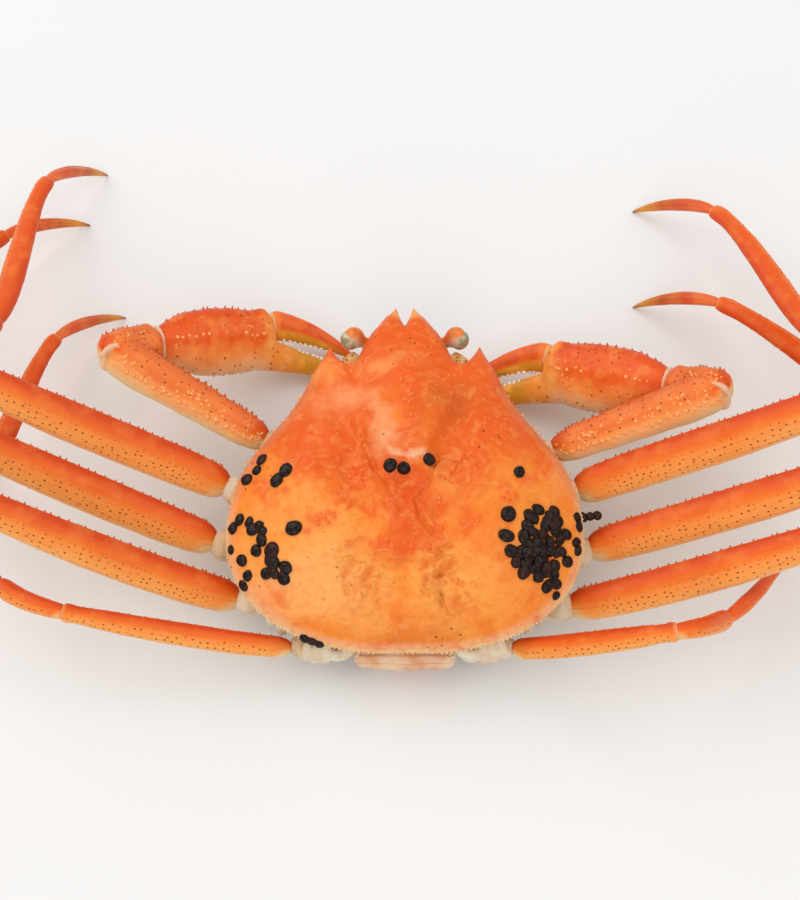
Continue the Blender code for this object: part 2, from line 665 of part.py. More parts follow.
def build_claw(word, finishes, carapace, underbody):
    """A claw limb: coxa, merus, carpus, the hand with its fixed finger, and the moving finger."""
    claw = CLAWS[word]
    root, base, elbow, wrist, knuckle, tip = (Vector(p) * MM for p in claw[:6])
    places = (root, base, elbow, wrist, knuckle)
    ways = [(b - a).normalized() for a, b in zip(places, places[1:])]
    face = Vector(claw.face).normalized()
    limb_face = LIMB_FACE.normalized()
    name = "claw_" + word
    joints = [blend(a, b, turn) for a, b, turn in zip(ways, ways[1:], CLAW_JOINT_TURNS)]

    half_width, half_thickness = (half * MM for half in CLAW_COXA_HALF)
    coxa = Segment(root, base, ways[0], joints[0], half_width, half_thickness, COXA, limb_face, 0.9)
    piece = coxa.solid(name + "_coxa", finishes["pale"], LIMB_SIDES)
    cut_clear(piece, [underbody, carapace])

    half_width, half_thickness = (half * MM for half in CLAW_MERUS_HALF)
    merus = Segment(base, elbow, joints[0], joints[1], half_width, half_thickness, CLAW_MERUS, limb_face, 0.7)
    piece = merus.solid(name + "_merus", finishes["shell"], CLAW_SIDES)
    turns = (0.0, SECOND_ROW) if word == "left" else (math.pi, math.pi - SECOND_ROW)
    apply_boolean(piece, spines_on(merus, turns, CLAW_SPINES, CLAW_SPINE_LENGTH), "UNION")

    half_width, half_thickness = (half * MM for half in CLAW_CARPUS_HALF)
    heel = elbow - ways[2] * CLAW_HEEL
    carpus = Segment(heel, wrist, ways[2], joints[2], half_width, half_thickness, CLAW_CARPUS, limb_face, 0.8)
    wrist_piece = carpus.solid(name + "_carpus", finishes["shell"], CLAW_SIDES)
    cut_clear(wrist_piece, [piece])

    half_width, half_thickness = (half * MM for half in HAND_HALF)
    hand = Segment(wrist, knuckle, joints[2], ways[3], half_width, half_thickness, HAND, face, 0.8)
    hand_across = ways[3].cross((face - ways[3] * face.dot(ways[3])).normalized())
    upper = hand_across if hand_across.y > 0 else -hand_across
    palm = hand.solid(name + "_hand", finishes["shell"], HAND_SIDES)
    below = knuckle - upper * KNUCKLE_OFFSET - ways[3] * FINGER_SINK
    fixed = finger_segment(below, tip - upper * TIP_GAP / 2, ways[3], -upper, face)
    pieces = [fixed.solid("fixed_finger", None, LIMB_SIDES)]
    turns = (0.0, SECOND_ROW, math.pi) if hand_across.y > 0 else (math.pi, math.pi - SECOND_ROW, 0.0)
    pieces += spines_on(hand, turns[:2], HAND_SPINES, CLAW_SPINE_LENGTH)
    pieces += spines_on(hand, turns[2:], HAND_LOWER_SPINES, HAND_LOWER_LENGTH)
    pieces += teeth_on(fixed, upper)
    apply_boolean(palm, pieces, "UNION")

    moving = finger_segment(knuckle + upper * KNUCKLE_OFFSET, tip + upper * TIP_GAP / 2, ways[3], upper, face)
    piece = moving.solid(name + "_finger", finishes["red"], LIMB_SIDES)
    apply_boolean(piece, teeth_on(moving, -upper), "UNION")


def finger_segment(start, end, way, bow, face):
    """A claw's finger that bows out and closes on the other at its tip."""
    arrive = ((end - start).normalized() - bow * FINGER_HOOK).normalized()
    half_width, half_thickness = (half * MM for half in FINGER_HALF)
    return Segment(start, end, way, arrive, half_width, half_thickness, FINGER, face, 0.8)


def teeth_on(finger, inward):
    """A row of blunt teeth along a finger's inner edge."""
    pieces = []
    for i in range(TEETH):
        t = TEETH_START + (TEETH_END - TEETH_START) * i / (TEETH - 1)
        centre, _ = finger.line(t)
        place = centre + inward * finger.half_width_at(t) * 0.97
        size = TOOTH_LENGTH * (1 - 0.5 * i / TEETH)
        pieces.append(cone("tooth", place, inward, size * 0.55, size))
    return pieces


def main():
    """Builds the whole crab."""
    clear_scene()
    finishes = {
        "shell": material("shell", SHELL_ORANGE, 0.38),
        "red": material("shell_red", SHELL_RED, 0.34),
        "pale": material("pale_shell", CREAM, 0.5),
        "amber": material("claw_tip", AMBER, 0.35),
        "eye": material("eye", EYE_GREY, 0.2),
    }
    carapace = build_carapace(finishes["shell"])
    abdomen = build_abdomen(finishes["pale"])
    cut_clear(abdomen, [carapace])
    underbody = build_underbody(finishes["pale"], abdomen)
    build_head_parts(carapace, underbody, finishes["eye"], finishes["pale"])
    for word in CLAWS:
        build_claw(word, finishes, carapace, underbody)
    for name in POSES:
        build_leg(name, finishes, carapace, underbody)
    for obj in bpy.data.objects:
        obj.data.shade_smooth()
        obj.data.set_sharp_from_angle(angle=SHARP_ANGLE)


main()
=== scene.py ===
"""Detailed look of a boiled snow crab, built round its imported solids.

Lengths are metres and +Z is up. The crab faces +Y, and its left side is at -X.
"""

import logging
import math
import random
from dataclasses import dataclass, field, replace
from enum import Enum
from itertools import pairwise
from typing import Callable, Sequence

import bmesh
import bpy
import numpy as np
from mathutils import Matrix, Vector, noise
from mathutils.bvhtree import BVHTree


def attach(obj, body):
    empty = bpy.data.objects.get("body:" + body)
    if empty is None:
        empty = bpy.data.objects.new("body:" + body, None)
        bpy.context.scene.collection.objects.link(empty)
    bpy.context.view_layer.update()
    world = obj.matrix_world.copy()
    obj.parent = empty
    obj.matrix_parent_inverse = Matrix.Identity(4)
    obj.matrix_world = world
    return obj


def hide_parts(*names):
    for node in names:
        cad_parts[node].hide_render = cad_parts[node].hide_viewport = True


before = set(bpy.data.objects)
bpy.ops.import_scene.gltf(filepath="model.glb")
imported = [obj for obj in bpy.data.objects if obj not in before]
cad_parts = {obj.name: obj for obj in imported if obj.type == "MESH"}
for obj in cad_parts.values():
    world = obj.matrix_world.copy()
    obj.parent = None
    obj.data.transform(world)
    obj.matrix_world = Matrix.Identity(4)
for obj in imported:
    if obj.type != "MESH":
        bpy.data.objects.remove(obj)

MM = 0.001
GAP = 0.3 * MM
UP = Vector((0.0, 0.0, 1.0))
BODY = "root"
LOG = logging.getLogger("snow_crab")

Array, Object = np.ndarray, bpy.types.Object
Material, Tree, Socket = bpy.types.Material, bpy.types.NodeTree, bpy.types.NodeSocket
Frames = tuple[Array, Array, Array, Array]
Profile = Sequence[tuple[float, float, float]]


class Side(Enum):
    """The crab's own sides, as the sign of their X."""

    LEFT = -1
    RIGHT = 1

    @property
    def word(self) -> str:
        """The side's name in the names of pieces."""
        return self.name.lower()

    @property
    def other(self) -> "Side":
        """The opposite side."""
        return Side(-self.value)


class Slot(Enum):
    """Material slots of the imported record."""

    SHELL = "shell"
    RED = "shell_red"
    PALE = "pale_shell"
    TIP = "claw_tip"
    EYE = "eye"


# ---- modelling tools ----


class Bench:
    """Blender's modelling operators, used on one object at a time."""

    @staticmethod
    def clear() -> None:
        """Leaves nothing selected, in object mode."""
        if bpy.context.object and bpy.context.object.mode != "OBJECT":
            bpy.ops.object.mode_set(mode="OBJECT")
        bpy.ops.object.select_all(action="DESELECT")

    @staticmethod
    def take(obj: Object) -> None:
        """Selects one object alone and makes it the active one."""
        Bench.clear()
        obj.select_set(True)
        bpy.context.view_layer.objects.active = obj

    @staticmethod
    def close_ring(height: float) -> None:
        """Closes the selected ring of an upright tube with a smaller ring and a pole.

        Args:
            height: The ring's height, about which it is drawn in.
        """
        for share in (0.8, 0.4):
            bpy.ops.mesh.extrude_region_move(TRANSFORM_OT_translate={"value": (0, 0, 0)})
            bpy.ops.transform.resize(value=(share, share, 1), center_override=(0, 0, height))
        bpy.ops.mesh.extrude_region_move(TRANSFORM_OT_translate={"value": (0, 0, 0)})
        bpy.ops.mesh.merge(type="CENTER")

    @staticmethod
    def upright_tube(name: str, stations: Sequence[tuple[float, float, float]], sides: int) -> Object:
        """Extrudes a circle upwards, sizes it at each station, and closes both ends.

        Args:
            name: The new object's name.
            stations: Height, half width along X and half width along Y of each ring.
            sides: Vertices round each ring.

        Returns:
            A closed object round the Z axis.
        """
        Bench.clear()
        bpy.ops.mesh.primitive_circle_add(vertices=sides, radius=1.0, fill_type="NOTHING", location=(0, 0, 0))
        obj = bpy.context.object
        obj.name = name
        bpy.ops.object.mode_set(mode="EDIT")
        bpy.ops.mesh.select_all(action="SELECT")
        first, last = stations[0], stations[-1]
        bpy.ops.transform.resize(value=(first[1], first[2], 1), center_override=(0, 0, 0))
        bpy.ops.transform.translate(value=(0, 0, first[0]))
        for (z0, x0, y0), (z1, x1, y1) in pairwise(stations):
            bpy.ops.mesh.extrude_region_move(TRANSFORM_OT_translate={"value": (0, 0, z1 - z0)})
            bpy.ops.transform.resize(value=(x1 / x0, y1 / y0, 1), center_override=(0, 0, z1))
        Bench.close_ring(last[0])
        bm = bmesh.from_edit_mesh(obj.data)
        for element in (*bm.verts, *bm.edges, *bm.faces):
            element.select = False
        for edge in bm.edges:
            if edge.is_boundary:
                edge.select = True
        bm.select_flush(True)
        bmesh.update_edit_mesh(obj.data)
        Bench.close_ring(first[0])
        Bench.face_out(obj)
        return obj

    @staticmethod
    def face_out(obj: Object) -> None:
        """Turns all faces of a closed object outwards."""
        Bench.take(obj)
        bpy.ops.object.mode_set(mode="EDIT")
        bpy.ops.mesh.select_all(action="SELECT")
        bpy.ops.mesh.normals_make_consistent(inside=False)
        bpy.ops.object.mode_set(mode="OBJECT")

    @staticmethod
    def shade(obj: Object) -> Object:
        """Shades an object smooth."""
        Bench.take(obj)
        bpy.ops.object.shade_smooth()
        return obj

    @staticmethod
    def apply(obj: Object, kind: str, **settings: object) -> None:
        """Adds a modifier to an object and applies it.

        Args:
            obj: The object to change.
            kind: Blender's name of the modifier type.
            **settings: The modifier's own settings.
        """
        Bench.take(obj)
        modifier = obj.modifiers.new(kind.lower(), kind)
        for key, value in settings.items():
            setattr(modifier, key, value)
        bpy.ops.object.modifier_apply(modifier=modifier.name)

    @staticmethod
    def subdivide(obj: Object, levels: int = 1) -> None:
        """Refines and rounds a mesh by subdivision."""
        Bench.apply(obj, "SUBSURF", levels=levels, render_levels=levels)

    @staticmethod
    def soften(obj: Object, amount: Array, rounds: int) -> None:
        """Smooths a mesh, each vertex by an amount of its own."""
        group = obj.vertex_groups.new(name="soft")
        for i in np.flatnonzero(amount):
            group.add([int(i)], float(amount[i]), "REPLACE")
        Bench.apply(obj, "SMOOTH", factor=0.5, iterations=rounds, vertex_group="soft")

    @staticmethod
    def join(name: str, parts: Sequence[Object]) -> Object:
        """Joins objects into one, under a new name."""
        Bench.take(parts[0])
        for part in parts[1:]:
            part.select_set(True)
        if len(parts) > 1:
            bpy.ops.object.join()
        parts[0].name = name
        parts[0].data.name = name
        return parts[0]

    @staticmethod
    def points(obj: Object) -> Array:
        """The places of a mesh's vertices, one row each."""
        flat = np.empty(len(obj.data.vertices) * 3)
        obj.data.vertices.foreach_get("co", flat)
        return flat.reshape(-1, 3)

    @staticmethod
    def move_points(obj: Object, places: Array) -> None:
        """Puts a mesh's vertices at the given places."""
        obj.data.vertices.foreach_set("co", places.ravel())
        obj.data.update()

    @staticmethod
    def write(obj: Object, name: str, values: Array) -> None:
        """Writes an attribute from values at the vertices."""
        obj.data.attributes.new(name, "FLOAT", "POINT").data.foreach_set("value", values)


def write_map(obj: Object, name: str, across: Array, around: Array, period: float = 0.0) -> None:
    """Writes a UV map from values at the vertices.

    Args:
        obj: The object that gets the map.
        name: The map's name.
        across: The first coordinate of each vertex.
        around: The second coordinate of each vertex.
        period: The value at which the second coordinate starts again, or 0 where it doesn't.
    """
    mesh = obj.data
    corner = np.empty(len(mesh.loops), int)
    mesh.loops.foreach_get("vertex_index", corner)
    start = np.empty(len(mesh.polygons), int)
    mesh.polygons.foreach_get("loop_start", start)
    total = np.empty(len(mesh.polygons), int)
    mesh.polygons.foreach_get("loop_total", total)
    second = around[corner]
    if period:
        highest = np.repeat(np.maximum.reduceat(second, start), total)
        second = np.where(highest - second > period / 2, second + period, second)
    layer = mesh.uv_layers.get(name) or mesh.uv_layers.new(name=name)
    layer.data.foreach_set("uv", np.column_stack((across[corner], second)).ravel())


def ripple(places: Array, scale: float, seed: float = 0.0) -> Array:
    """Smooth noise from -1 to 1 at each place.

    Args:
        places: Points in metres, one row each.
        scale: The size of a ripple in metres.
        seed: Shifts the noise, so that two uses differ.

    Returns:
        One value a point.
    """
    return np.array([noise.noise(Vector(p) / scale + Vector((seed, seed * 0.7, -seed))) for p in places])


def bell(away: Array, reach: float) -> Array:
    """1 where away is 0, and fading over a reach either way."""
    return np.exp(-((away / reach) ** 2))


def climb(value: Array, low: float | Array, high: float | Array) -> Array:
    """0 where the value is at low, 1 where it is at high, and even between."""
    return np.clip((value - low) / (high - low), 0, 1)


def near_line(x: Array, y: Array, line: Sequence) -> Array:
    """How far each place is from a line of straight stretches."""
    near = np.full(len(x), 1e9)
    for (x0, y0), (x1, y1) in pairwise(line):
        dx, dy = x1 - x0, y1 - y0
        t = np.clip(((x - x0) * dx + (y - y0) * dy) / (dx * dx + dy * dy), 0, 1)
        near = np.minimum(near, np.hypot(x - x0 - t * dx, y - y0 - t * dy))
    return near


def hermite(a: Array, b: Array, leave: Array, arrive: Array, t: Array) -> tuple[Array, Array]:
    """The smooth curve from a to b, with its rates at both ends.

    Args:
        a: Where it starts.
        b: Where it ends.
        leave: Its rate at the start.
        arrive: Its rate at the end.
        t: How far along it is, from 0 to 1.

    Returns:
        Where it is, and its rate there.
    """
    return (a * (2 * t**3 - 3 * t**2 + 1) + leave * (t**3 - 2 * t**2 + t)
            + b * (3 * t**2 - 2 * t**3) + arrive * (t**3 - t**2),
            (b - a) * (6 * t - 6 * t**2) + leave * (3 * t**2 - 4 * t + 1) + arrive * (3 * t**2 - 2 * t))


def through(knots: Array, column: Array, places: Array) -> tuple[Array, Array]:
    """The smooth curve through a column of values.

    Args:
        knots: Where the values stand.
        column: The values.
        places: Where the curve is wanted.

    Returns:
        Where it is at each place, and its rate there over a step between knots.
    """
    slopes = np.gradient(column, knots)
    i = np.clip(np.searchsorted(knots, places, side="right") - 1, 0, len(knots) - 2)
    step = knots[i + 1] - knots[i]
    t = (places - knots[i]) / step
    return hermite(column[i], column[i + 1], slopes[i] * step, slopes[i + 1] * step, t)


def smooth_profile(profile: Profile, places: Array) -> tuple[Array, Array]:
    """Half width and half thickness shares on the smooth curve through a profile's entries."""
    knots, *columns = np.array(profile, float).T
    return tuple(through(knots, column, places)[0] for column in columns)


@dataclass(frozen=True)
class Axis:
    """The middle line of a limb segment, square to its joints, and the way its broad side faces."""

    start: Vector
    end: Vector
    start_normal: Vector
    end_normal: Vector
    face: Vector
    bend: float

    @property
    def length(self) -> float:
        """The straight length between the joints."""
        return (self.end - self.start).length

    def frames(self, places: Array) -> Frames:
        """Where the line runs and how it is turned.

        Args:
            places: Places along the line, from 0 to 1.

        Returns:
            Centres, and the directions along, across and out of the broad side, one row a place.
        """
        start = np.array(self.start + self.start_normal * GAP / 2)
        end = np.array(self.end - self.end_normal * GAP / 2)
        reach = np.linalg.norm(end - start) * self.bend
        leave, arrive = np.array(self.start_normal) * reach, np.array(self.end_normal) * reach
        centre, along = hermite(start, end, leave, arrive, np.asarray(places, float)[:, None])
        return turn_frames(centre, along, np.array(self.face))


@dataclass(frozen=True)
class Path:
    """A middle line through given points."""

    line: Sequence[Vector]
    face: Vector

    @property
    def length(self) -> float:
        """The length from point to point."""
        return sum((b - a).length for a, b in pairwise(self.line))

    def frames(self, places: Array) -> Frames:
        """Where the line runs and how it is turned, as for an Axis."""
        points = np.array([tuple(p) for p in self.line])
        knots, t = np.linspace(0, 1, len(points)), np.clip(np.asarray(places, float), 0, 1)
        curves = [through(knots, column, t) for column in points.T]
        centre, along = (np.column_stack(columns) for columns in zip(*curves))
        return turn_frames(centre, along, np.array(self.face))


def turn_frames(centre: Array, along: Array, face: Array) -> Frames:
    """Completes frames from centres, directions along a line, and the side that its broad face looks to."""
    along = along / np.linalg.norm(along, axis=1)[:, None]
    out = face - along * (along @ face)[:, None]
    out = out / np.linalg.norm(out, axis=1)[:, None]
    return centre, along, np.cross(along, out), out


@dataclass
class Tube:
    """A shell segment: a closed tube of flattened section that swells along its middle line."""

    name: str
    course: Axis | Path
    half_width: float
    half_thickness: float
    profile: Profile
    side: Side
    sides: int = 28
    steps: int = 24
    fullness: float = 2.25
    levels: int = 1
    lumps: float = 0.10 * MM
    relief: Callable[[Array, Array], Array] | None = None
    groove_depth: float = 0.5 * MM

    @property
    def girth(self) -> float:
        """The length round the widest section."""
        a, b = self.half_width, self.half_thickness
        return math.pi * (3 * (a + b) - math.sqrt((3 * a + b) * (a + 3 * b)))

    def round_share(self, turn: Array) -> Array:
        """How far round a turn is, from 0 below by the leading edge and the back back to 1 below."""
        from_edge = turn if self.side is Side.LEFT else math.pi - turn
        return (from_edge / (2 * math.pi) + 0.25) % 1.0

    def section(self, turn: Array) -> Array:
        """How far the skin stands out at a turn, over that of an oval."""
        power = self.fullness
        return (np.abs(np.cos(turn)) ** power + np.abs(np.sin(turn)) ** power) ** (-1 / power)

    def build(self) -> Object:
        """Models the tube upright, refines it, and lays it along its course.

        Returns:
            The segment as one object at the origin, with its place in its mesh.
        """
        u = np.linspace(0, 1, self.steps + 1)
        places = 0.6 * u + 0.4 * (0.5 - 0.5 * np.cos(math.pi * u))
        stations = [(t * self.course.length, w * self.half_width, h * self.half_thickness)
                    for t, w, h in zip(places, *smooth_profile(self.profile, places))]
        obj = Bench.upright_tube(self.name, stations, self.sides)
        if self.levels:
            Bench.subdivide(obj, self.levels)
        self.lay(obj)
        return Bench.shade(obj)

    def lay(self, obj: Object) -> None:
        """Bends an upright tube along the course, with its relief, and writes its maps."""
        x, y, z = Bench.points(obj).T
        t = np.clip(z / self.course.length, 0, 1)
        widths, thicknesses = smooth_profile(self.profile, t)
        even_x, even_y = x / widths / self.half_width, y / thicknesses / self.half_thickness
        turn, inside = np.arctan2(even_y, even_x), np.hypot(even_x, even_y) > 0.9
        share, stand = self.round_share(turn), self.section(turn)
        centre, _, across, out = self.course.frames(t)
        raw = centre + across * (x * stand)[:, None] + out * (y * stand)[:, None]
        lift = self.lumps * (ripple(raw, 7 * MM) + 0.5 * ripple(raw, 2.6 * MM, 3.0))
        if self.relief:
            relief = self.relief(t, share)
            lift += relief
            # The grooves' depth becomes a mask that pale finishes use for painted shade.
            Bench.write(obj, "crease_colour_and_shade", np.clip(-relief / self.groove_depth, 0, 1) * inside)
        way_x, way_y = np.cos(turn) * self.half_thickness / self.half_width, np.sin(turn)
        lift *= inside / np.hypot(way_x, way_y)
        placed = raw + across * (lift * way_x)[:, None] + out * (lift * way_y)[:, None]
        placed[:, 2] = np.maximum(placed[:, 2], 0.0)
        Bench.move_points(obj, placed)
        write_map(obj, "share", t, share, 1.0)
        write_map(obj, "metric", t * self.course.length / MM, share * self.girth / MM, self.girth / MM)

    def skin(self, place: float, share: float) -> tuple[Vector, Vector, Vector]:
        """A point of the skin.

        Args:
            place: Place along the tube, from 0 to 1.
            share: How far round it is, as round_share gives it.

        Returns:
            The point, the way out of the skin, and the way along the tube.
        """
        from_edge = (share - 0.25) * 2 * math.pi
        turn = from_edge if self.side is Side.LEFT else math.pi - from_edge
        widths, thicknesses = smooth_profile(self.profile, np.array([place]))
        centre, along, across, out = (Vector(row[0]) for row in self.course.frames(np.array([place])))
        stand = float(self.section(np.array([turn]))[0])
        half_width = widths[0] * self.half_width * stand
        half_thickness = thicknesses[0] * self.half_thickness * stand
        point = centre + across * half_width * math.cos(turn) + out * half_thickness * math.sin(turn)
        away = across * math.cos(turn) / half_width + out * math.sin(turn) / half_thickness
        return point, away.normalized(), along


@dataclass(frozen=True)
class SmallForm:
    """A small form that is repeated over the shell, as rings of height and radius, for a size of 1."""

    name: str
    rings: Sequence[tuple[float, float]]
    sides: int
    levels: int = 0

    def model(self) -> Object:
        """Models the form once, at the origin and pointing up."""
        obj = Bench.upright_tube(self.name, [(z, r, r) for z, r in self.rings], self.sides)
        if self.levels:
            Bench.subdivide(obj, self.levels)
        low, high = self.rings[0][0], max(z for z, _ in self.rings)
        heights = (Bench.points(obj)[:, 2] - low) / (high - low)
        write_map(obj, "share", np.zeros(len(heights)), heights)
        return Bench.shade(obj)


SPINE = SmallForm("spine_model", ((-0.5, 0.62), (0.0, 0.56), (0.28, 0.40), (0.62, 0.23), (0.94, 0.07)), 6)
WART = SmallForm("wart_model", ((-0.5, 1.06), (0.0, 1.0), (0.34, 0.86), (0.6, 0.52), (0.7, 0.2)), 8)
TOOTH = SmallForm("tooth_model", ((-0.5, 0.62), (0.1, 0.6), (0.5, 0.46), (0.82, 0.26), (0.96, 0.1)), 7)
EGG_CASE = SmallForm("egg_case_model", ((-0.2, 0.98), (0.04, 1.08), (0.2, 1.06), (0.44, 0.94), (0.64, 0.70),
                                        (0.75, 0.42), (0.78, 0.18)), 14, 1)


class Scatter:
    """Copies of one small form, set on a surface and joined into one piece."""

    def __init__(self, form: SmallForm, seed: int) -> None:
        """Models the form and starts a count of its own.

        Args:
            form: What is repeated.
            seed: Start of this scatter's random draws.
        """
        self.model = form.model()
        self.draw = random.Random(seed)
        self.copies: list[Object] = []

    def set(self, place: Vector, out: Vector, size: float, height: float = 1.0, stretch: float = 1.0) -> None:
        """Sets one copy.

        Args:
            place: Where its foot is.
            out: The way it points.
            size: Its size over the model's.
            height: Its height over its size.
            stretch: Its length one way over its width.
        """
        copy = self.model.copy()
        copy.data = self.model.data.copy()
        spin = Matrix.Rotation(self.draw.uniform(0, 6.28), 4, "Z")
        copy.data.transform(Matrix.Translation(place) @ UP.rotation_difference(out).to_matrix().to_4x4() @ spin
                            @ Matrix.Diagonal((size * stretch, size / stretch, size * height, 1)))
        tone = self.draw.random()
        for corner in copy.data.uv_layers["share"].data:
            corner.uv.x = tone
        bpy.context.scene.collection.objects.link(copy)
        self.copies.append(copy)

    def stud(self, tube: Tube, place: float, share: float, lift: float, size: float, height: float,
             stretch: float = 1.0) -> None:
        """Sets one copy on a segment's skin.

        Args:
            tube: The segment.
            place: Place along it, from 0 to 1.
            share: How far round it is.
            lift: How far it is raised off the skin.
            size: Its size over the model's.
            height: Its height over its size.
            stretch: Its length one way over its width.
        """
        point, out, _ = tube.skin(place, share)
        self.set(point + out * lift, out, size, height, stretch)

    def join(self, name: str) -> Object:
        """Joins the copies into one piece and drops the model."""
        bpy.data.objects.remove(self.model)
        return Bench.join(name, self.copies)


# ---- finishes ----


class Nodes:
    """A node tree that is written line by line."""

    def __init__(self, tree: Tree) -> None:
        """Takes an empty tree, or one with its end nodes."""
        self.tree = tree

    def add(self, kind: str, inputs: dict | None = None, **settings: object) -> bpy.types.Node:
        """Adds a node, sets it, and gives its inputs values or links.

        Args:
            kind: The node's type, without the ShaderNode in front.
            inputs: Sockets by name or number, with a value or the socket that feeds each.
            **settings: The node's own settings.

        Returns:
            The new node.
        """
        node = self.tree.nodes.new(kind if kind.startswith("Node") else "ShaderNode" + kind)
        for key, value in settings.items():
            setattr(node, key, value)
        for key, value in (inputs or {}).items():
            self.feed(node.inputs[key], value)
        return node

    def feed(self, socket: Socket, value: object) -> None:
        """Links a socket to another, or sets its value."""
        if isinstance(value, Socket):
            self.tree.links.new(value, socket)
        else:
            socket.default_value = value

    def maths(self, operation: str, *values: object) -> Socket:
        """One operation on numbers."""
        return self.add("Math", dict(enumerate(values)), operation=operation).outputs[0]

    def times(self, *values: object) -> Socket:
        """The product of two or more numbers."""
        product = values[0]
        for value in values[1:]:
            product = self.maths("MULTIPLY", product, value)
        return product

    def noise(self, place: Socket, scale: float, detail: float) -> Socket:
        """Noise from 0 to 1."""
        return self.add("TexNoise", {"Vector": place, "Scale": scale, "Detail": detail}).outputs["Fac"]

    def between(self, value: object, low: object, high: object, kind: str = "SMOOTHSTEP") -> Socket:
        """0 where the value is at low, 1 where it is at high, and a step between."""
        inputs = {"Value": value, "From Min": low, "From Max": high}
        return self.add("MapRange", inputs, interpolation_type=kind).outputs[0]

    def mix(self, first: object, second: object, share: object) -> Socket:
        """A colour between two, each a socket or three numbers."""
        node = self.add("Mix", None, data_type="RGBA")
        for key, value in ((0, share), (6, first), (7, second)):
            self.feed(node.inputs[key], (*value, 1.0) if isinstance(value, tuple) else value)
        return node.outputs[2]

    def ramp(self, value: object, stops: Sequence[tuple[float, tuple]]) -> Socket:
        """A colour from a row of stops."""
        node = self.add("ValToRGB", {0: value})
        elements = node.color_ramp.elements
        for element, (place, colour) in zip(elements, (stops[0], stops[-1])):
            element.position, element.color = place, (*colour, 1.0)
        for place, colour in stops[1:-1]:
            elements.new(place).color = (*colour, 1.0)
        return node.outputs[0]

    def group(self, tree: Tree, **inputs: object) -> bpy.types.Node:
        """Places a node group with its own values."""
        node = self.add("Group", None)
        node.node_tree = tree
        for key, value in inputs.items():
            self.feed(node.inputs[key.capitalize()], value)
        return node


class Effects:
    """Node groups that several finishes use."""

    def __init__(self) -> None:
        """Builds each group once."""
        self.mottle, self.spot, self.grain = self._mottle(), self._spot(), self._grain()
        self.dots, self.rows = self._dots("dots", "3D"), self._dots("dot_rows", "2D")

    @staticmethod
    def _new(name: str, inputs: dict[str, float | None], *outputs: str) -> tuple:
        """Makes an empty group.

        Args:
            name: The group's name.
            inputs: Each input's name and first value, which is None for a vector.
            *outputs: Names of the outputs, all plain numbers.

        Returns:
            The group's writer, what it is given, and what it makes.
        """
        tree = bpy.data.node_groups.new(name, "ShaderNodeTree")
        for key, value in inputs.items():
            kind = "NodeSocketVector" if value is None else "NodeSocketFloat"
            socket = tree.interface.new_socket(key, in_out="INPUT", socket_type=kind)
            if value is not None:
                socket.default_value = value
        for key in outputs:
            tree.interface.new_socket(key, in_out="OUTPUT", socket_type="NodeSocketFloat")
        w = Nodes(tree)
        return w, w.add("NodeGroupInput").outputs, w.add("NodeGroupOutput").inputs

    def _mottle(self) -> Tree:
        """Soft cloudy variation from 0 to 1."""
        w, given, made = self._new(
            "mottle", {"Place": None, "Scale": 100.0, "Detail": 3.0, "Low": 0.4, "High": 0.6}, "Value")
        cloud = w.noise(given["Place"], given["Scale"], given["Detail"])
        w.feed(made["Value"], w.between(cloud, given["Low"], given["High"]))
        return w.tree

    def _spot(self) -> Tree:
        """A soft oval patch: 1 inside it and 0 outside."""
        w, given, made = self._new(
            "spot", {"Place": None, "Centre": None, "Size": None, "Softness": 0.5}, "Mask")
        away = w.add("VectorMath", {0: given["Place"], 1: given["Centre"]}, operation="SUBTRACT")
        scaled = w.add("VectorMath", {0: away.outputs[0], 1: given["Size"]}, operation="DIVIDE")
        reach = w.add("VectorMath", {0: scaled.outputs[0]}, operation="LENGTH").outputs["Value"]
        inner, outer = (w.maths(sign, 1.0, given["Softness"]) for sign in ("SUBTRACT", "ADD"))
        w.feed(made["Mask"], w.between(reach, outer, inner))
        return w.tree

    def _dots(self, name: str, space: str) -> Tree:
        """Small round dots, scattered through space or nearly in rows on a flat map."""
        w, given, made = self._new(
            name, {"Place": None, "Scale": 1.0, "Scatter": 0.6, "Radius": 0.2}, "Mask", "Height")
        cells = w.add("TexVoronoi", None, voronoi_dimensions=space)
        for key, value in (("Vector", "Place"), ("Scale", "Scale"), ("Randomness", "Scatter")):
            w.feed(cells.inputs[key], given[value])
        step = w.between(cells.outputs["Distance"], given["Radius"], w.times(given["Radius"], 0.55))
        tone = w.add("SeparateColor", {0: cells.outputs["Color"]}).outputs[0]
        w.feed(made["Mask"], w.times(step, w.between(tone, -0.2, 0.5)))
        w.feed(made["Height"], step)
        return w.tree

    def _grain(self) -> Tree:
        """Height of a shell's fine pores and low lumps, about 0 to 1."""
        w, given, made = self._new(
            "grain", {"Place": None, "Fine": 2500.0, "Coarse": 500.0, "Share": 0.4}, "Height")
        fine, coarse = (w.noise(given["Place"], given[key], 2.0) for key in ("Fine", "Coarse"))
        both = w.add("Mix", {0: given["Share"], 2: coarse, 3: fine}, data_type="FLOAT")
        w.feed(made["Height"], both.outputs[0])
        return w.tree


@dataclass(frozen=True)
class Gloss:
    """How a shell takes the light: values that are the same all over it."""

    coat: float = 0.12
    coat_roughness: float = 0.15
    specular: float = 0.14
    bump: float = 0.35
    bump_reach: float = 0.25 * MM


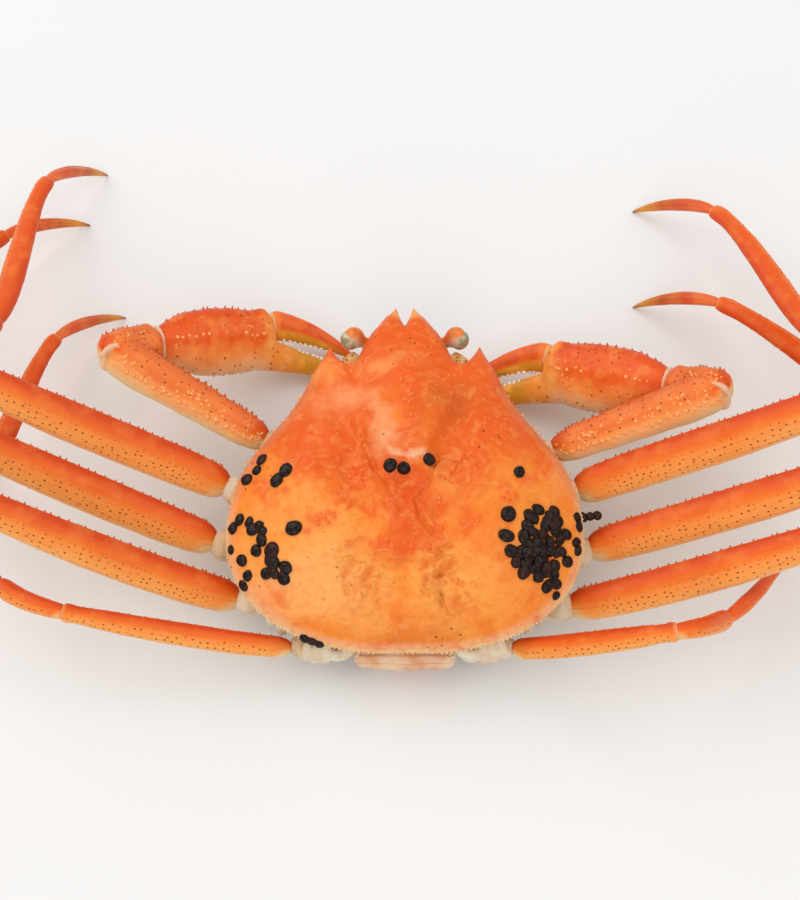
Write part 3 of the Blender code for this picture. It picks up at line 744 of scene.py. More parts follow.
YELLOW_ORANGE = (0.87, 0.285, 0.036)
LIGHT_ORANGE = (0.90, 0.355, 0.075)
ORANGE = (0.86, 0.205, 0.022)
RED_ORANGE = (0.77, 0.106, 0.010)
DEEP_RED = (0.66, 0.066, 0.008)
PINK = (0.90, 0.34, 0.125)
PEACH = (0.84, 0.40, 0.14)
BROWN_ORANGE = (0.56, 0.115, 0.014)
CREAM = (0.80, 0.56, 0.27)
PALE_CREAM = (0.78, 0.66, 0.46)
SPECK_BROWN = (0.13, 0.028, 0.008)
DOT_BROWN = (0.20, 0.045, 0.010)
AMBER = (0.66, 0.27, 0.022)
DARK_AMBER = (0.14, 0.045, 0.010)


# Soft patches on the back shell: colour, across, forward, half width, half length, amount, softness.
CARAPACE_PATCHES = (
    (RED_ORANGE, -22, 27, 19, 13, 0.92, 0.5), (RED_ORANGE, 25, 30, 19, 13, 0.85, 0.5),
    ((0.74, 0.082, 0.010), -15, 22, 6, 9, 0.6, 0.5), ((0.72, 0.075, 0.009), 0.5, 10, 9, 15, 0.9, 0.6),
    ((0.76, 0.095, 0.011), 1, -3.5, 12, 3.5, 0.8, 0.5), (RED_ORANGE, 0, 66, 16, 16, 0.75, 0.5),
    ((0.90, 0.33, 0.09), -6, 61, 10, 5, 0.6, 0.5), (LIGHT_ORANGE, -31, 62, 6, 8, 0.55, 0.5),
    # Pink at (-21, 47) is painted light on a lit hollow; brown at (16, 46) is painted shade on a shaded one.
    (ORANGE, 0, 38, 10, 11, 0.7, 0.5), ((0.90, 0.38, 0.155), -21, 47, 9.5, 6, 0.6, 0.85),
    (BROWN_ORANGE, 16, 46, 8.5, 8, 0.62, 0.8), ((0.88, 0.45, 0.20), -9.5, 37, 3, 9, 0.45, 0.85),
    # Painted highlights: the peach patch at (-3.5, 29) and the pale crescent at (1.5, 24.4).
    ((0.80, 0.12, 0.014), 1, 46, 4, 20, 0.7, 0.5), ((0.86, 0.46, 0.23), -3.5, 29, 5.5, 5, 0.6, 0.8),
    # Light orange at (-37, -6) is partly the shell's paler tone and partly painted sheen.
    ((0.86, 0.50, 0.28), 1.5, 24.4, 4.6, 1.3, 0.9, 0.7), (LIGHT_ORANGE, -37, -6, 20, 15, 0.8, 0.5),
    (LIGHT_ORANGE, 24, -13, 18, 13, 0.45, 0.5), (LIGHT_ORANGE, -13, -18, 8, 12, 0.7, 0.5),
    (LIGHT_ORANGE, 8, -17, 7, 10, 0.6, 0.5), (YELLOW_ORANGE, 40, 14, 12, 16, 0.6, 0.5),
    (YELLOW_ORANGE, -44, 12, 12, 16, 0.7, 0.5), (BROWN_ORANGE, 2, -31, 18, 3, 0.35, 0.5),
    (PINK, -46, -19, 9, 8, 0.7, 0.5), ((0.80, 0.14, 0.015), 28, -1, 8, 9, 0.45, 0.5),
    ((0.80, 0.14, 0.015), 12, 10, 3, 8, 0.5, 0.5), (PINK, 52, 24, 5, 9, 0.5, 0.5),
    # The light orange horn tips at (-3, 84) and (3, 84) are partly their own paler colour and partly a painted
    # highlight.
    (LIGHT_ORANGE, -3, 84, 4, 5, 0.9, 0.6), (LIGHT_ORANGE, 3, 84, 4, 5, 0.9, 0.6),
    # Light orange at (-30, -17) is partly the shell's paler tone and partly painted sheen.
    ((0.93, 0.43, 0.14), -30, -17, 15, 9, 0.55, 0.6))


class Finish:
    """One material, built up from its parts."""

    def __init__(self, effects: Effects, name: str, **gloss: float) -> None:
        """Starts a material with the values that don't vary.

        Args:
            effects: The shared node groups.
            name: The material's name.
            **gloss: How it takes the light, where that isn't as usual.
        """
        self.effects, self.gloss = effects, Gloss(**gloss)
        self.material = bpy.data.materials.new(name)
        self.material.use_nodes = True
        self.w = Nodes(self.material.node_tree)
        self.shader = self.material.node_tree.nodes["Principled BSDF"]
        self.shader.inputs["Coat Weight"].default_value = self.gloss.coat
        self.shader.inputs["Coat Roughness"].default_value = self.gloss.coat_roughness
        self.shader.inputs["Specular IOR Level"].default_value = self.gloss.specular
        self.place = self.w.add("TexCoord").outputs["Object"]
        self.colour: object = None

    def map(self, name: str) -> tuple[Socket, Socket, Socket]:
        """The piece's own map as a vector, and its two coordinates."""
        uv = self.w.add("UVMap", None, uv_map=name).outputs[0]
        return uv, *self.w.add("SeparateXYZ", {0: uv}).outputs[:2]

    def attribute(self, name: str) -> Socket:
        """A value that is written on the piece's vertices."""
        return self.w.add("Attribute", None, attribute_name=name).outputs["Fac"]

    def cloud(self, scale: float, detail: float, low: float, high: float,
              place: Socket | None = None) -> Socket:
        """Soft cloudy variation: 0 where its noise is at low, and 1 where it is at high."""
        return self.w.group(self.effects.mottle, place=place or self.place, scale=scale, detail=detail,
                            low=low, high=high).outputs[0]

    def dots(self, scale: float, scatter: float, radius: float) -> bpy.types.Node:
        """Small round dots through space."""
        return self.w.group(self.effects.dots, place=self.place, scale=scale, scatter=scatter, radius=radius)

    def spot(self, place: Socket, x: float, y: float, wide: float, long: float, softness: float) -> Socket:
        """An oval patch on the back shell, in millimetres."""
        return self.w.group(self.effects.spot, place=place, centre=(x * MM, y * MM, 0.05),
                            size=(wide * MM, long * MM, 1.0), softness=softness).outputs[0]

    def grain(self, fine: float, coarse: float, share: float = 0.4, place: Socket | None = None) -> Socket:
        """Height of fine pores and low lumps."""
        return self.w.group(self.effects.grain, place=place or self.place, fine=fine, coarse=coarse,
                            share=share).outputs[0]

    def swayed(self, value: Socket, cloud: Socket, amount: float) -> Socket:
        """A value made uneven by a cloud."""
        return self.w.maths("MULTIPLY_ADD", self.w.maths("SUBTRACT", cloud, 0.5), amount, value)

    def tint(self, tone: object, mask: object, amount: float = 1.0) -> None:
        """Lays a tone over the colour where the mask is."""
        self.colour = self.w.mix(self.colour, tone, mask if amount == 1.0 else self.w.times(mask, amount))

    def speckle(self, scale: float, radius: float, amount: float, tone: tuple = SPECK_BROWN) -> None:
        """Lays a few dark specks over the colour."""
        dots, patch = self.dots(scale, 1.0, radius), self.cloud(scale * 0.12, 1.0, 0.5, 0.62)
        self.tint(tone, self.w.times(dots.outputs["Mask"], patch), amount)

    def finish(self, varied: Socket, smoothest: float, roughest: float,
               height: Socket | None = None) -> Material:
        """Feeds the shader.

        Args:
            varied: What the roughness follows, from 0 to 1.
            smoothest: The roughness where that is 0.
            roughest: The roughness where that is 1.
            height: What makes the bump, if anything does.

        Returns:
            The finished material.
        """
        roughness = self.w.add("MapRange", {"Value": varied, "To Min": smoothest, "To Max": roughest})
        self.w.feed(self.shader.inputs["Base Color"], self.colour)
        self.w.feed(self.shader.inputs["Roughness"], roughness.outputs[0])
        if height is not None:
            bump = self.w.add("Bump", {"Strength": self.gloss.bump, "Distance": self.gloss.bump_reach,
                                       "Height": height})
            self.w.feed(self.shader.inputs["Normal"], bump.outputs[0])
        return self.material


class Paints:
    """Every finish of the crab."""

    # Where the back shell is thin and crumpled: across, forward, half width and half length in millimetres.
    thin_patches = ((-13, -14, 9, 12), (13, -15, 9, 13), (-15, 22, 7, 10), (14, 20, 7, 10))

    def __init__(self) -> None:
        """Mixes all of them."""
        self.effects = Effects()
        self.floor, self.carapace = self._floor(), self._carapace()
        self.merus = self._limb(
            "leg_merus_shell", (0.50, 0.66),
            ((0.13, CREAM), (0.19, PEACH), (0.235, RED_ORANGE), (0.285, DEEP_RED), (0.37, DEEP_RED),
             (0.42, RED_ORANGE), (0.50, (0.86, 0.19, 0.022)), (0.57, (0.88, 0.26, 0.04)), (0.63, LIGHT_ORANGE),
             (0.68, PEACH), (0.73, CREAM)))
        self.joint = self._limb(
            "leg_joint_shell", (0.52, 0.68),
            ((0.16, PEACH), (0.26, RED_ORANGE), (0.36, DEEP_RED), (0.45, RED_ORANGE), (0.6, ORANGE),
             (0.72, PEACH)))
        self.shank = self._limb(
            "leg_shank_shell", (0.58, 0.68),
            ((0.2, RED_ORANGE), (0.32, DEEP_RED), (0.46, (0.74, 0.095, 0.011)), (0.60, RED_ORANGE),
             (0.76, ORANGE)), (0.80, 0.30, 0.09))
        self.claw = self._limb(
            "claw_merus_shell", (0.30, 0.58),
            ((0.13, PEACH), (0.22, RED_ORANGE), (0.34, DEEP_RED), (0.44, (0.80, 0.125, 0.015)),
             (0.50, RED_ORANGE), (0.55, (0.87, 0.26, 0.05)), (0.60, (0.88, 0.40, 0.14)), (0.67, CREAM)),
            rows=(0.23, 0.30, 0.11))
        self.wrist = self._limb(
            "claw_wrist_shell", (0.30, 0.62),
            ((0.13, PEACH), (0.22, RED_ORANGE), (0.34, DEEP_RED), (0.46, (0.78, 0.11, 0.013)),
             (0.56, RED_ORANGE), (0.66, ORANGE), (0.76, PEACH)), rows=(0.25, 0.32, 0.11))
        self.hand, self.finger, self.dactyl = self._hand(), self._finger(), self._dactyl()
        self.pale = self._pale("underside_shell", (0.76, 0.65, 0.50), (0.66, 0.47, 0.27), 0.3)
        self.flap = self._pale("tail_flap_shell", (0.80, 0.56, 0.36), (0.70, 0.30, 0.14), 0.3)
        self.lobe = self._pale("lobe_skin", (0.76, 0.67, 0.50), (0.66, 0.48, 0.32), 0.2)
        self.skin = self._pale("joint_skin", (0.78, 0.38, 0.17), (0.74, 0.50, 0.28), 0.5)
        self.bare = self._pale("bare_joint_skin", (0.80, 0.52, 0.36), (0.72, 0.40, 0.22), 0.3)
        self.orbit = self._orbit()
        self.spine = self._small("spine", ((0.0, ORANGE), (0.38, RED_ORANGE), (0.66, (0.42, 0.065, 0.011)),
                                           (1.0, SPECK_BROWN)), 0.1)
        # Warts lighter at the very top: a painted highlight.
        self.wart = self._small("wart", ((0.0, ORANGE), (0.4, (0.84, 0.16, 0.018)),
                                         (0.8, (0.80, 0.115, 0.012)), (1.0, (0.86, 0.20, 0.04))), 0.06)
        # Claw warts pale towards their tops: partly their own pale colour, partly a painted highlight.
        self.cream_wart = self._small("cream_wart", ((0.0, ORANGE), (0.45, (0.86, 0.25, 0.045)),
                                                     (1.0, (0.89, 0.40, 0.13))), 0.18)
        self.tooth = self._small("tooth", ((0.0, (0.82, 0.66, 0.42)), (0.5, (0.86, 0.80, 0.66)),
                                           (1.0, (0.88, 0.84, 0.74))), 0.2)
        self.rim_spine = self._small("rim_spine", ((0.0, ORANGE), (0.4, (0.88, 0.36, 0.11)),
                                                   (0.8, (0.80, 0.30, 0.08)), (1.0, (0.40, 0.10, 0.03))), 0.3)
        self.rim = self._small("rim_bead", ((0.0, (0.84, 0.45, 0.18)), (0.6, CREAM), (1.0, PALE_CREAM)), 0.3)
        self.egg_case, self.eye_cap, self.cornea = self._egg_case(), self._eye_cap(), self._cornea()

    def _floor(self) -> Material:
        """The studio's pale floor."""
        f = Finish(self.effects, "floor_paint", coat=0.0)
        f.colour = f.w.mix((0.79, 0.785, 0.775), (0.82, 0.815, 0.805), f.w.noise(f.place, 3.0, 2.0))
        return f.finish(f.colour, 0.5, 0.5)

    def _carapace(self) -> Material:
        """The back shell: yellow-orange behind, red-orange in front, with pale and red patches."""
        f = Finish(self.effects, "carapace_shell", coat_roughness=0.13, specular=0.10, bump=0.65,
                   bump_reach=0.35 * MM)
        w = f.w
        warp = w.add("TexNoise", {"Vector": f.place, "Scale": 60.0, "Detail": 4.0})
        shift = w.add("VectorMath", {0: warp.outputs["Color"], 1: (0.5, 0.5, 0.5)}, operation="SUBTRACT")
        grown = w.add("VectorMath", {0: shift.outputs[0], "Scale": 0.020}, operation="SCALE")
        place = w.add("VectorMath", {0: f.place, 1: grown.outputs[0]}, operation="ADD").outputs[0]
        forward = w.add("SeparateXYZ", {0: place}).outputs[1]
        f.colour = w.mix(YELLOW_ORANGE, ORANGE, w.times(f.cloud(48.0, 6.0, 0.38, 0.64), 0.8))
        f.tint(RED_ORANGE, w.between(forward, -0.004, 0.046), 0.95)
        for tone, *oval, amount, softness in CARAPACE_PATCHES:
            f.tint(tone, f.spot(place, *oval, softness), amount)
        f.tint((0.80, 0.105, 0.012), f.attribute("blush"), 0.75)
        # Darker red in the creases: partly their own deeper red, partly painted shade.
        f.tint((0.72, 0.150, 0.014), f.attribute("crease_colour_and_shade"), 0.55)

        _, _, out = f.map("share")
        behind = w.between(forward, 0.036, 0.010)
        f.tint((0.88, 0.41, 0.19), w.times(w.between(out, 0.935, 0.975), behind), 0.85)
        f.tint(CREAM, w.times(w.between(out, 0.975, 0.995), behind), 0.8)
        f.tint((0.68, 0.28, 0.15), w.times(w.between(out, 0.90, 0.965), w.between(forward, 0.010, 0.030),
                                           w.between(forward, 0.062, 0.052)), 0.5)
        f.tint(CREAM, w.between(out, 1.02, 1.07))

        f.tint((0.92, 0.36, 0.085), f.cloud(230.0, 5.0, 0.53, 0.70), 0.28)
        f.tint((0.74, 0.13, 0.015), f.cloud(520.0, 8.0, 0.47, 0.66), 0.24)
        f.tint((0.93, 0.42, 0.12), f.cloud(310.0, 6.0, 0.50, 0.66, place), 0.2)
        f.tint(RED_ORANGE, f.cloud(120.0, 7.0, 0.48, 0.74, place), 0.55)
        f.speckle(300.0, 0.15, 0.95)
        ridge = w.maths("ABSOLUTE", w.maths("SUBTRACT", w.noise(place, 130.0, 2.5), 0.5))
        least = thin = 0.15
        for oval in self.thin_patches:
            thin = w.maths("MAXIMUM", thin, f.spot(place, *oval, 0.5))
        creases = w.times(w.between(ridge, 0.0, 0.07, "LINEAR"), w.times(thin, 1.7))
        # Painted highlight: lighter yellow-orange on the crumple ridges of the thin patches, away from the
        # crease lines.
        f.tint((0.93, 0.40, 0.10), w.times(w.between(ridge, 0.01, 0.16), w.maths("SUBTRACT", thin, least)),
               0.3)
        height = f.grain(1500.0, 330.0, 0.28, place)
        return f.finish(f.cloud(90.0, 4.0, 0.3, 0.7), 0.40, 0.58, w.maths("ADD", height, creases))

    def _limb(self, name: str, band: tuple[float, float], stops: Sequence, below: tuple = CREAM,
              rows: tuple[float, float, float] = (0.44, 0.58, 0.19)) -> Material:
        """A limb's shell: coloured round it from the belly side over the back, with a dotted band.

        Args:
            name: The material's name.
            band: Where round the limb the dotted band starts and ends.
            stops: Colours by how far round they are.
            below: The colour of the belly side.
            rows: How many dots stand in a millimetre along and round the limb, and a dot's radius in that
                measure.

        Returns:
            The material.
        """
        f = Finish(self.effects, name, bump=0.5)
        w = f.w
        _, along, around = f.map("share")
        metric, _, _ = f.map("metric")
        sway = f.swayed(around, w.noise(f.place, 90.0, 4.0), 0.09)
        root = w.times(w.between(along, 0.13, 0.01), w.between(around, 0.42, 0.60))
        f.colour = w.ramp(w.maths("MULTIPLY_ADD", root, 0.2, sway), ((0.0, below), *stops, (1.0, below)))
        streaks = w.add("Mapping", {"Vector": metric, "Scale": (0.05, 0.9, 1.0)}).outputs[0]
        f.tint((0.74, 0.085, 0.010), f.cloud(1.0, 4.0, 0.48, 0.70, streaks), 0.38)
        f.tint((0.88, 0.27, 0.05), f.cloud(150.0, 6.0, 0.48, 0.68), 0.28)
        f.tint((0.84, 0.33, 0.10), w.between(along, 0.972, 1.0), 0.6)
        grid = w.add("Mapping", {"Vector": metric, "Scale": (*rows[:2], 1.0)})
        dots = w.group(self.effects.rows, place=grid.outputs[0], scale=1.0, scatter=0.6, radius=rows[2])
        within = w.times(w.between(around, band[0] - 0.02, band[0] + 0.03),
                         w.between(around, band[1] + 0.02, band[1] - 0.02),
                         w.times(w.between(along, 0.08, 0.2), w.between(along, 0.99, 0.93)))
        dotted = w.times(dots.outputs["Mask"], within)
        f.tint((0.90, 0.40, 0.11), within, 0.22)
        f.tint(DOT_BROWN, dotted, 0.9)
        f.speckle(420.0, 0.13, 0.8)
        height = w.maths("SUBTRACT", f.grain(2400.0, 600.0), w.times(dotted, 0.6))
        return f.finish(f.cloud(140.0, 4.0, 0.3, 0.7), 0.34, 0.50, height)

    def _hand(self) -> Material:
        """A claw's hand: red above, cream below with sparse dots, and amber on its fixed finger."""
        f = Finish(self.effects, "claw_hand_shell", bump=0.5)
        w = f.w
        _, along, around = f.map("share")
        wander = w.noise(f.place, 110.0, 5.0)
        f.colour = w.ramp(f.swayed(around, wander, 0.12), (
            (0.0, CREAM), (0.12, (0.84, 0.36, 0.13)), (0.2, RED_ORANGE), (0.3, DEEP_RED),
            (0.42, (0.78, 0.105, 0.012)), (0.5, RED_ORANGE), (0.57, (0.84, 0.24, 0.05)),
            (0.63, (0.86, 0.40, 0.17)), (0.72, (0.82, 0.52, 0.27)), (1.0, CREAM)))
        cloud = f.cloud(170.0, 6.0, 0.46, 0.68)
        f.tint((0.88, 0.30, 0.06), cloud, 0.4)
        collar = w.mix((0.86, 0.27, 0.035), (0.89, 0.40, 0.10), cloud)
        f.tint(collar, w.between(f.swayed(along, wander, 0.08), 0.50, 0.565), 0.9)
        ochre = w.mix(AMBER, (0.90, 0.36, 0.04), cloud)
        f.tint(w.mix(ochre, (0.84, 0.22, 0.02), w.between(along, 0.74, 0.98)), w.between(along, 0.62, 0.70))
        low = w.times(f.dots(380.0, 0.8, 0.22).outputs["Mask"], w.between(around, 0.52, 0.58))
        high = w.times(f.dots(430.0, 0.8, 0.24).outputs["Mask"], w.between(around, 0.48, 0.40))
        both = w.times(w.maths("MAXIMUM", low, high), w.between(along, 0.66, 0.56))
        f.tint((0.20, 0.040, 0.010), both, 0.85)
        return f.finish(cloud, 0.28, 0.42, w.maths("ADD", f.grain(2200.0, 520.0), w.times(both, 0.5)))

    def _finger(self) -> Material:
        """A claw's moving finger: red outside, amber inside and pale at its root."""
        f = Finish(self.effects, "claw_finger_shell", coat=0.2, coat_roughness=0.12, bump=0.3,
                   bump_reach=0.2 * MM)
        w = f.w
        _, along, around = f.map("share")
        cloud = f.cloud(160.0, 5.0, 0.4, 0.68)
        f.colour = w.mix((0.80, 0.135, 0.016), DEEP_RED, w.times(cloud, 0.8))
        f.tint(w.mix(AMBER, (0.88, 0.38, 0.045), cloud), w.between(around, 0.50, 0.58))
        f.tint((0.86, 0.24, 0.03), w.between(along, 0.16, 0.0), 0.6)
        f.tint(DEEP_RED, w.between(along, 0.6, 1.0), 0.6)
        f.speckle(420.0, 0.14, 0.8)
        return f.finish(cloud, 0.24, 0.36, f.grain(2400.0, 700.0))

    def _dactyl(self) -> Material:
        """A leg's last segment: red-brown, ridged along, and dark amber at its tip."""
        f = Finish(self.effects, "leg_tip_shell", coat=0.4, coat_roughness=0.2, bump=0.45, bump_reach=0.2 * MM)
        w = f.w
        _, share, around = f.map("share")
        f.colour = w.ramp(share, ((0.0, RED_ORANGE), (0.3, (0.66, 0.075, 0.014)), (0.62, (0.52, 0.09, 0.015)),
                                  (0.85, AMBER), (0.95, (0.40, 0.13, 0.02)), (1.0, DARK_AMBER)))
        under = w.ramp(share, ((0.0, (0.84, 0.42, 0.16)), (0.5, (0.78, 0.30, 0.07)),
                               (0.85, (0.66, 0.28, 0.04)),
                               (1.0, DARK_AMBER)))
        f.tint(under, w.between(around, 0.58, 0.74))
        f.tint((0.84, 0.30, 0.06), f.cloud(150.0, 4.0, 0.4, 0.66), 0.3)
        ridges = w.add("Mapping", {"Vector": f.map("metric")[0], "Scale": (0.05, 1.3, 1.0)})
        ridge = w.noise(ridges.outputs[0], 1.0, 2.0)
        return f.finish(ridge, 0.26, 0.46, ridge)

    def _pale(self, name: str, light: tuple, dark: tuple, blushes: float) -> Material:
        """Thin pale shell or skin, clouded from one tone to another, with painted shade in its creases.

        Args:
            name: The material's name.
            light: Its light tone.
            dark: Its dark tone.
            blushes: How much of it is flushed orange.

        Returns:
            The material.
        """
        f = Finish(self.effects, name, coat=0.15, coat_roughness=0.2, bump=0.6, bump_reach=0.3 * MM)
        cloud = f.cloud(80.0, 6.0, 0.38, 0.64)
        f.colour = f.w.mix(light, dark, cloud)
        f.tint((0.84, 0.36, 0.09), f.cloud(120.0, 4.0, 0.52, 0.66), blushes)
        f.tint((0.36, 0.29, 0.17), f.cloud(200.0, 5.0, 0.56, 0.70), 0.4)
        # Painted shade in the creases and crevices.
        f.tint((0.58, 0.25, 0.12), f.attribute("crease_colour_and_shade"), 0.55)
        f.speckle(360.0, 0.13, 0.7, (0.10, 0.06, 0.03))
        return f.finish(cloud, 0.34, 0.52, f.grain(1500.0, 330.0, 0.3))

    def _orbit(self) -> Material:
        """The floor of an eye's notch: cream with black dots."""
        f = Finish(self.effects, "orbit_skin", coat=0.2, bump=0.4)
        cloud = f.cloud(260.0, 4.0, 0.4, 0.64)
        f.colour = f.w.mix((0.86, 0.62, 0.26), (0.84, 0.40, 0.09), cloud)
        dots = f.dots(900.0, 0.7, 0.42)
        f.tint((0.05, 0.02, 0.008), dots.outputs["Mask"])
        return f.finish(cloud, 0.3, 0.45, dots.outputs["Height"])

    def _small(self, name: str, stops: Sequence, pale: float) -> Material:
        """A small form's finish: coloured from its foot to its top, and a little different each time."""
        f = Finish(self.effects, name)
        _, tone, height = f.map("share")
        f.colour = f.w.ramp(height, stops)
        f.tint(CREAM, f.w.between(tone, 0.6, 1.0), pale)
        return f.finish(f.cloud(900.0, 2.0, 0.3, 0.7), 0.28, 0.42)

    def _egg_case(self) -> Material:
        """A shiny black egg case, a little brown at its flange."""
        f = Finish(self.effects, "egg_case_skin", coat=0.28, coat_roughness=0.04, specular=0.04, bump=0.3,
                   bump_reach=0.2 * MM)
        _, tone, height = f.map("share")
        cloud = f.cloud(700.0, 3.0, 0.35, 0.7)
        f.colour = f.w.mix((0.007, 0.004, 0.003), (0.024, 0.012, 0.008), cloud)
        f.tint((0.045, 0.010, 0.006), f.w.between(tone, 0.6, 1.0), 0.5)
        f.tint((0.06, 0.022, 0.008), f.w.between(height, 0.3, 0.05), 0.5)
        return f.finish(cloud, 0.20, 0.36, f.grain(3200.0, 900.0))

    def _eye_cap(self) -> Material:
        """The eye's stalk: orange above, cream with brown bands below."""
        f = Finish(self.effects, "eye_stalk_shell", coat=0.3, coat_roughness=0.12, bump=0.3)
        w = f.w
        _, _, around = f.map("share")
        cloud = f.cloud(260.0, 4.0, 0.4, 0.66)
        f.colour = w.mix((0.70, 0.60, 0.44), (0.46, 0.34, 0.18), cloud)
        sway = f.swayed(around, cloud, 0.07)
        f.tint(w.mix((0.80, 0.22, 0.035), (0.62, 0.14, 0.02), cloud),
               w.times(w.between(sway, 0.24, 0.34), w.between(sway, 0.64, 0.54)))
        return f.finish(cloud, 0.25, 0.38, f.grain(2600.0, 800.0))

    def _cornea(self) -> Material:
        """The eye itself, cloudy grey-green from boiling."""
        f = Finish(self.effects, "cornea_skin", coat=0.5, coat_roughness=0.06, bump=0.12)
        cloud = f.cloud(340.0, 3.0, 0.36, 0.68)
        f.colour = f.w.mix((0.27, 0.24, 0.13), (0.62, 0.54, 0.36), cloud)
        return f.finish(cloud, 0.16, 0.3, f.dots(3600.0, 0.4, 0.6).outputs["Height"])


def dress(piece: Object, paint: bpy.types.Material, slot: Slot, *nodes: str) -> None:
    """Gives a piece its finish, sets it on the body and hides the nodes that it replaces.

    Args:
        piece: A finished piece.
        paint: Its material.
        slot: The record's slot of that finish; not used.
        *nodes: The CAD nodes that it replaces.
    """
    piece.data.materials.clear()
    piece.data.materials.append(paint)
    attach(piece, BODY)
    if nodes:
        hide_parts(*nodes)
    LOG.info("%s: %d faces", piece.name, len(piece.data.polygons))


def dress_tube(tube: Tube, paint: Material, slot: Slot) -> None:
    """Builds a segment, and dresses it in place of the node that has its name."""
    dress(tube.build(), paint, slot, tube.name.removesuffix("_shell"))


# ---- the body ----

# How the plane of the back shell's edge is pitched, and its height over the floor.
PITCH = Matrix.Rotation(math.radians(6.0), 3, "X")
RIM_HEIGHT = 30 * MM


def body_point(across: float, forward: float, height: float) -> Vector:
    """A point given from the plane of the back shell's edge, in the world."""
    return PITCH @ Vector((across, forward, height)) + UP * RIM_HEIGHT


def body_points(plan: Array, heights: Array) -> Array:
    """Many such points, one row each."""
    return np.array([tuple(body_point(x, y, height)) for (x, y), height in zip(plan, heights)])


def mirrored(point: Vector, side: Side) -> Vector:
    """A point of the right side, on the given side."""
    return Vector((point.x * side.value, point.y, point.z))


def side_line(points: Sequence, side: Side, start: Vector | None = None) -> list[Vector]:
    """A line on the given side, from the right side's points in millimetres, measured from a start."""
    return [(start or Vector()) + mirrored(Vector(point[:3]) * MM, side) for point in points]


def ring_places(flat: Array, count: int) -> tuple[Array, Array]:
    """How far out each vertex of an upright tube is, and which of the count round its ring it is."""
    turn = np.arctan2(-flat[:, 0], flat[:, 1]) / (2 * math.pi)
    return np.hypot(flat[:, 0], flat[:, 1]), np.round(turn * count).astype(int) % count


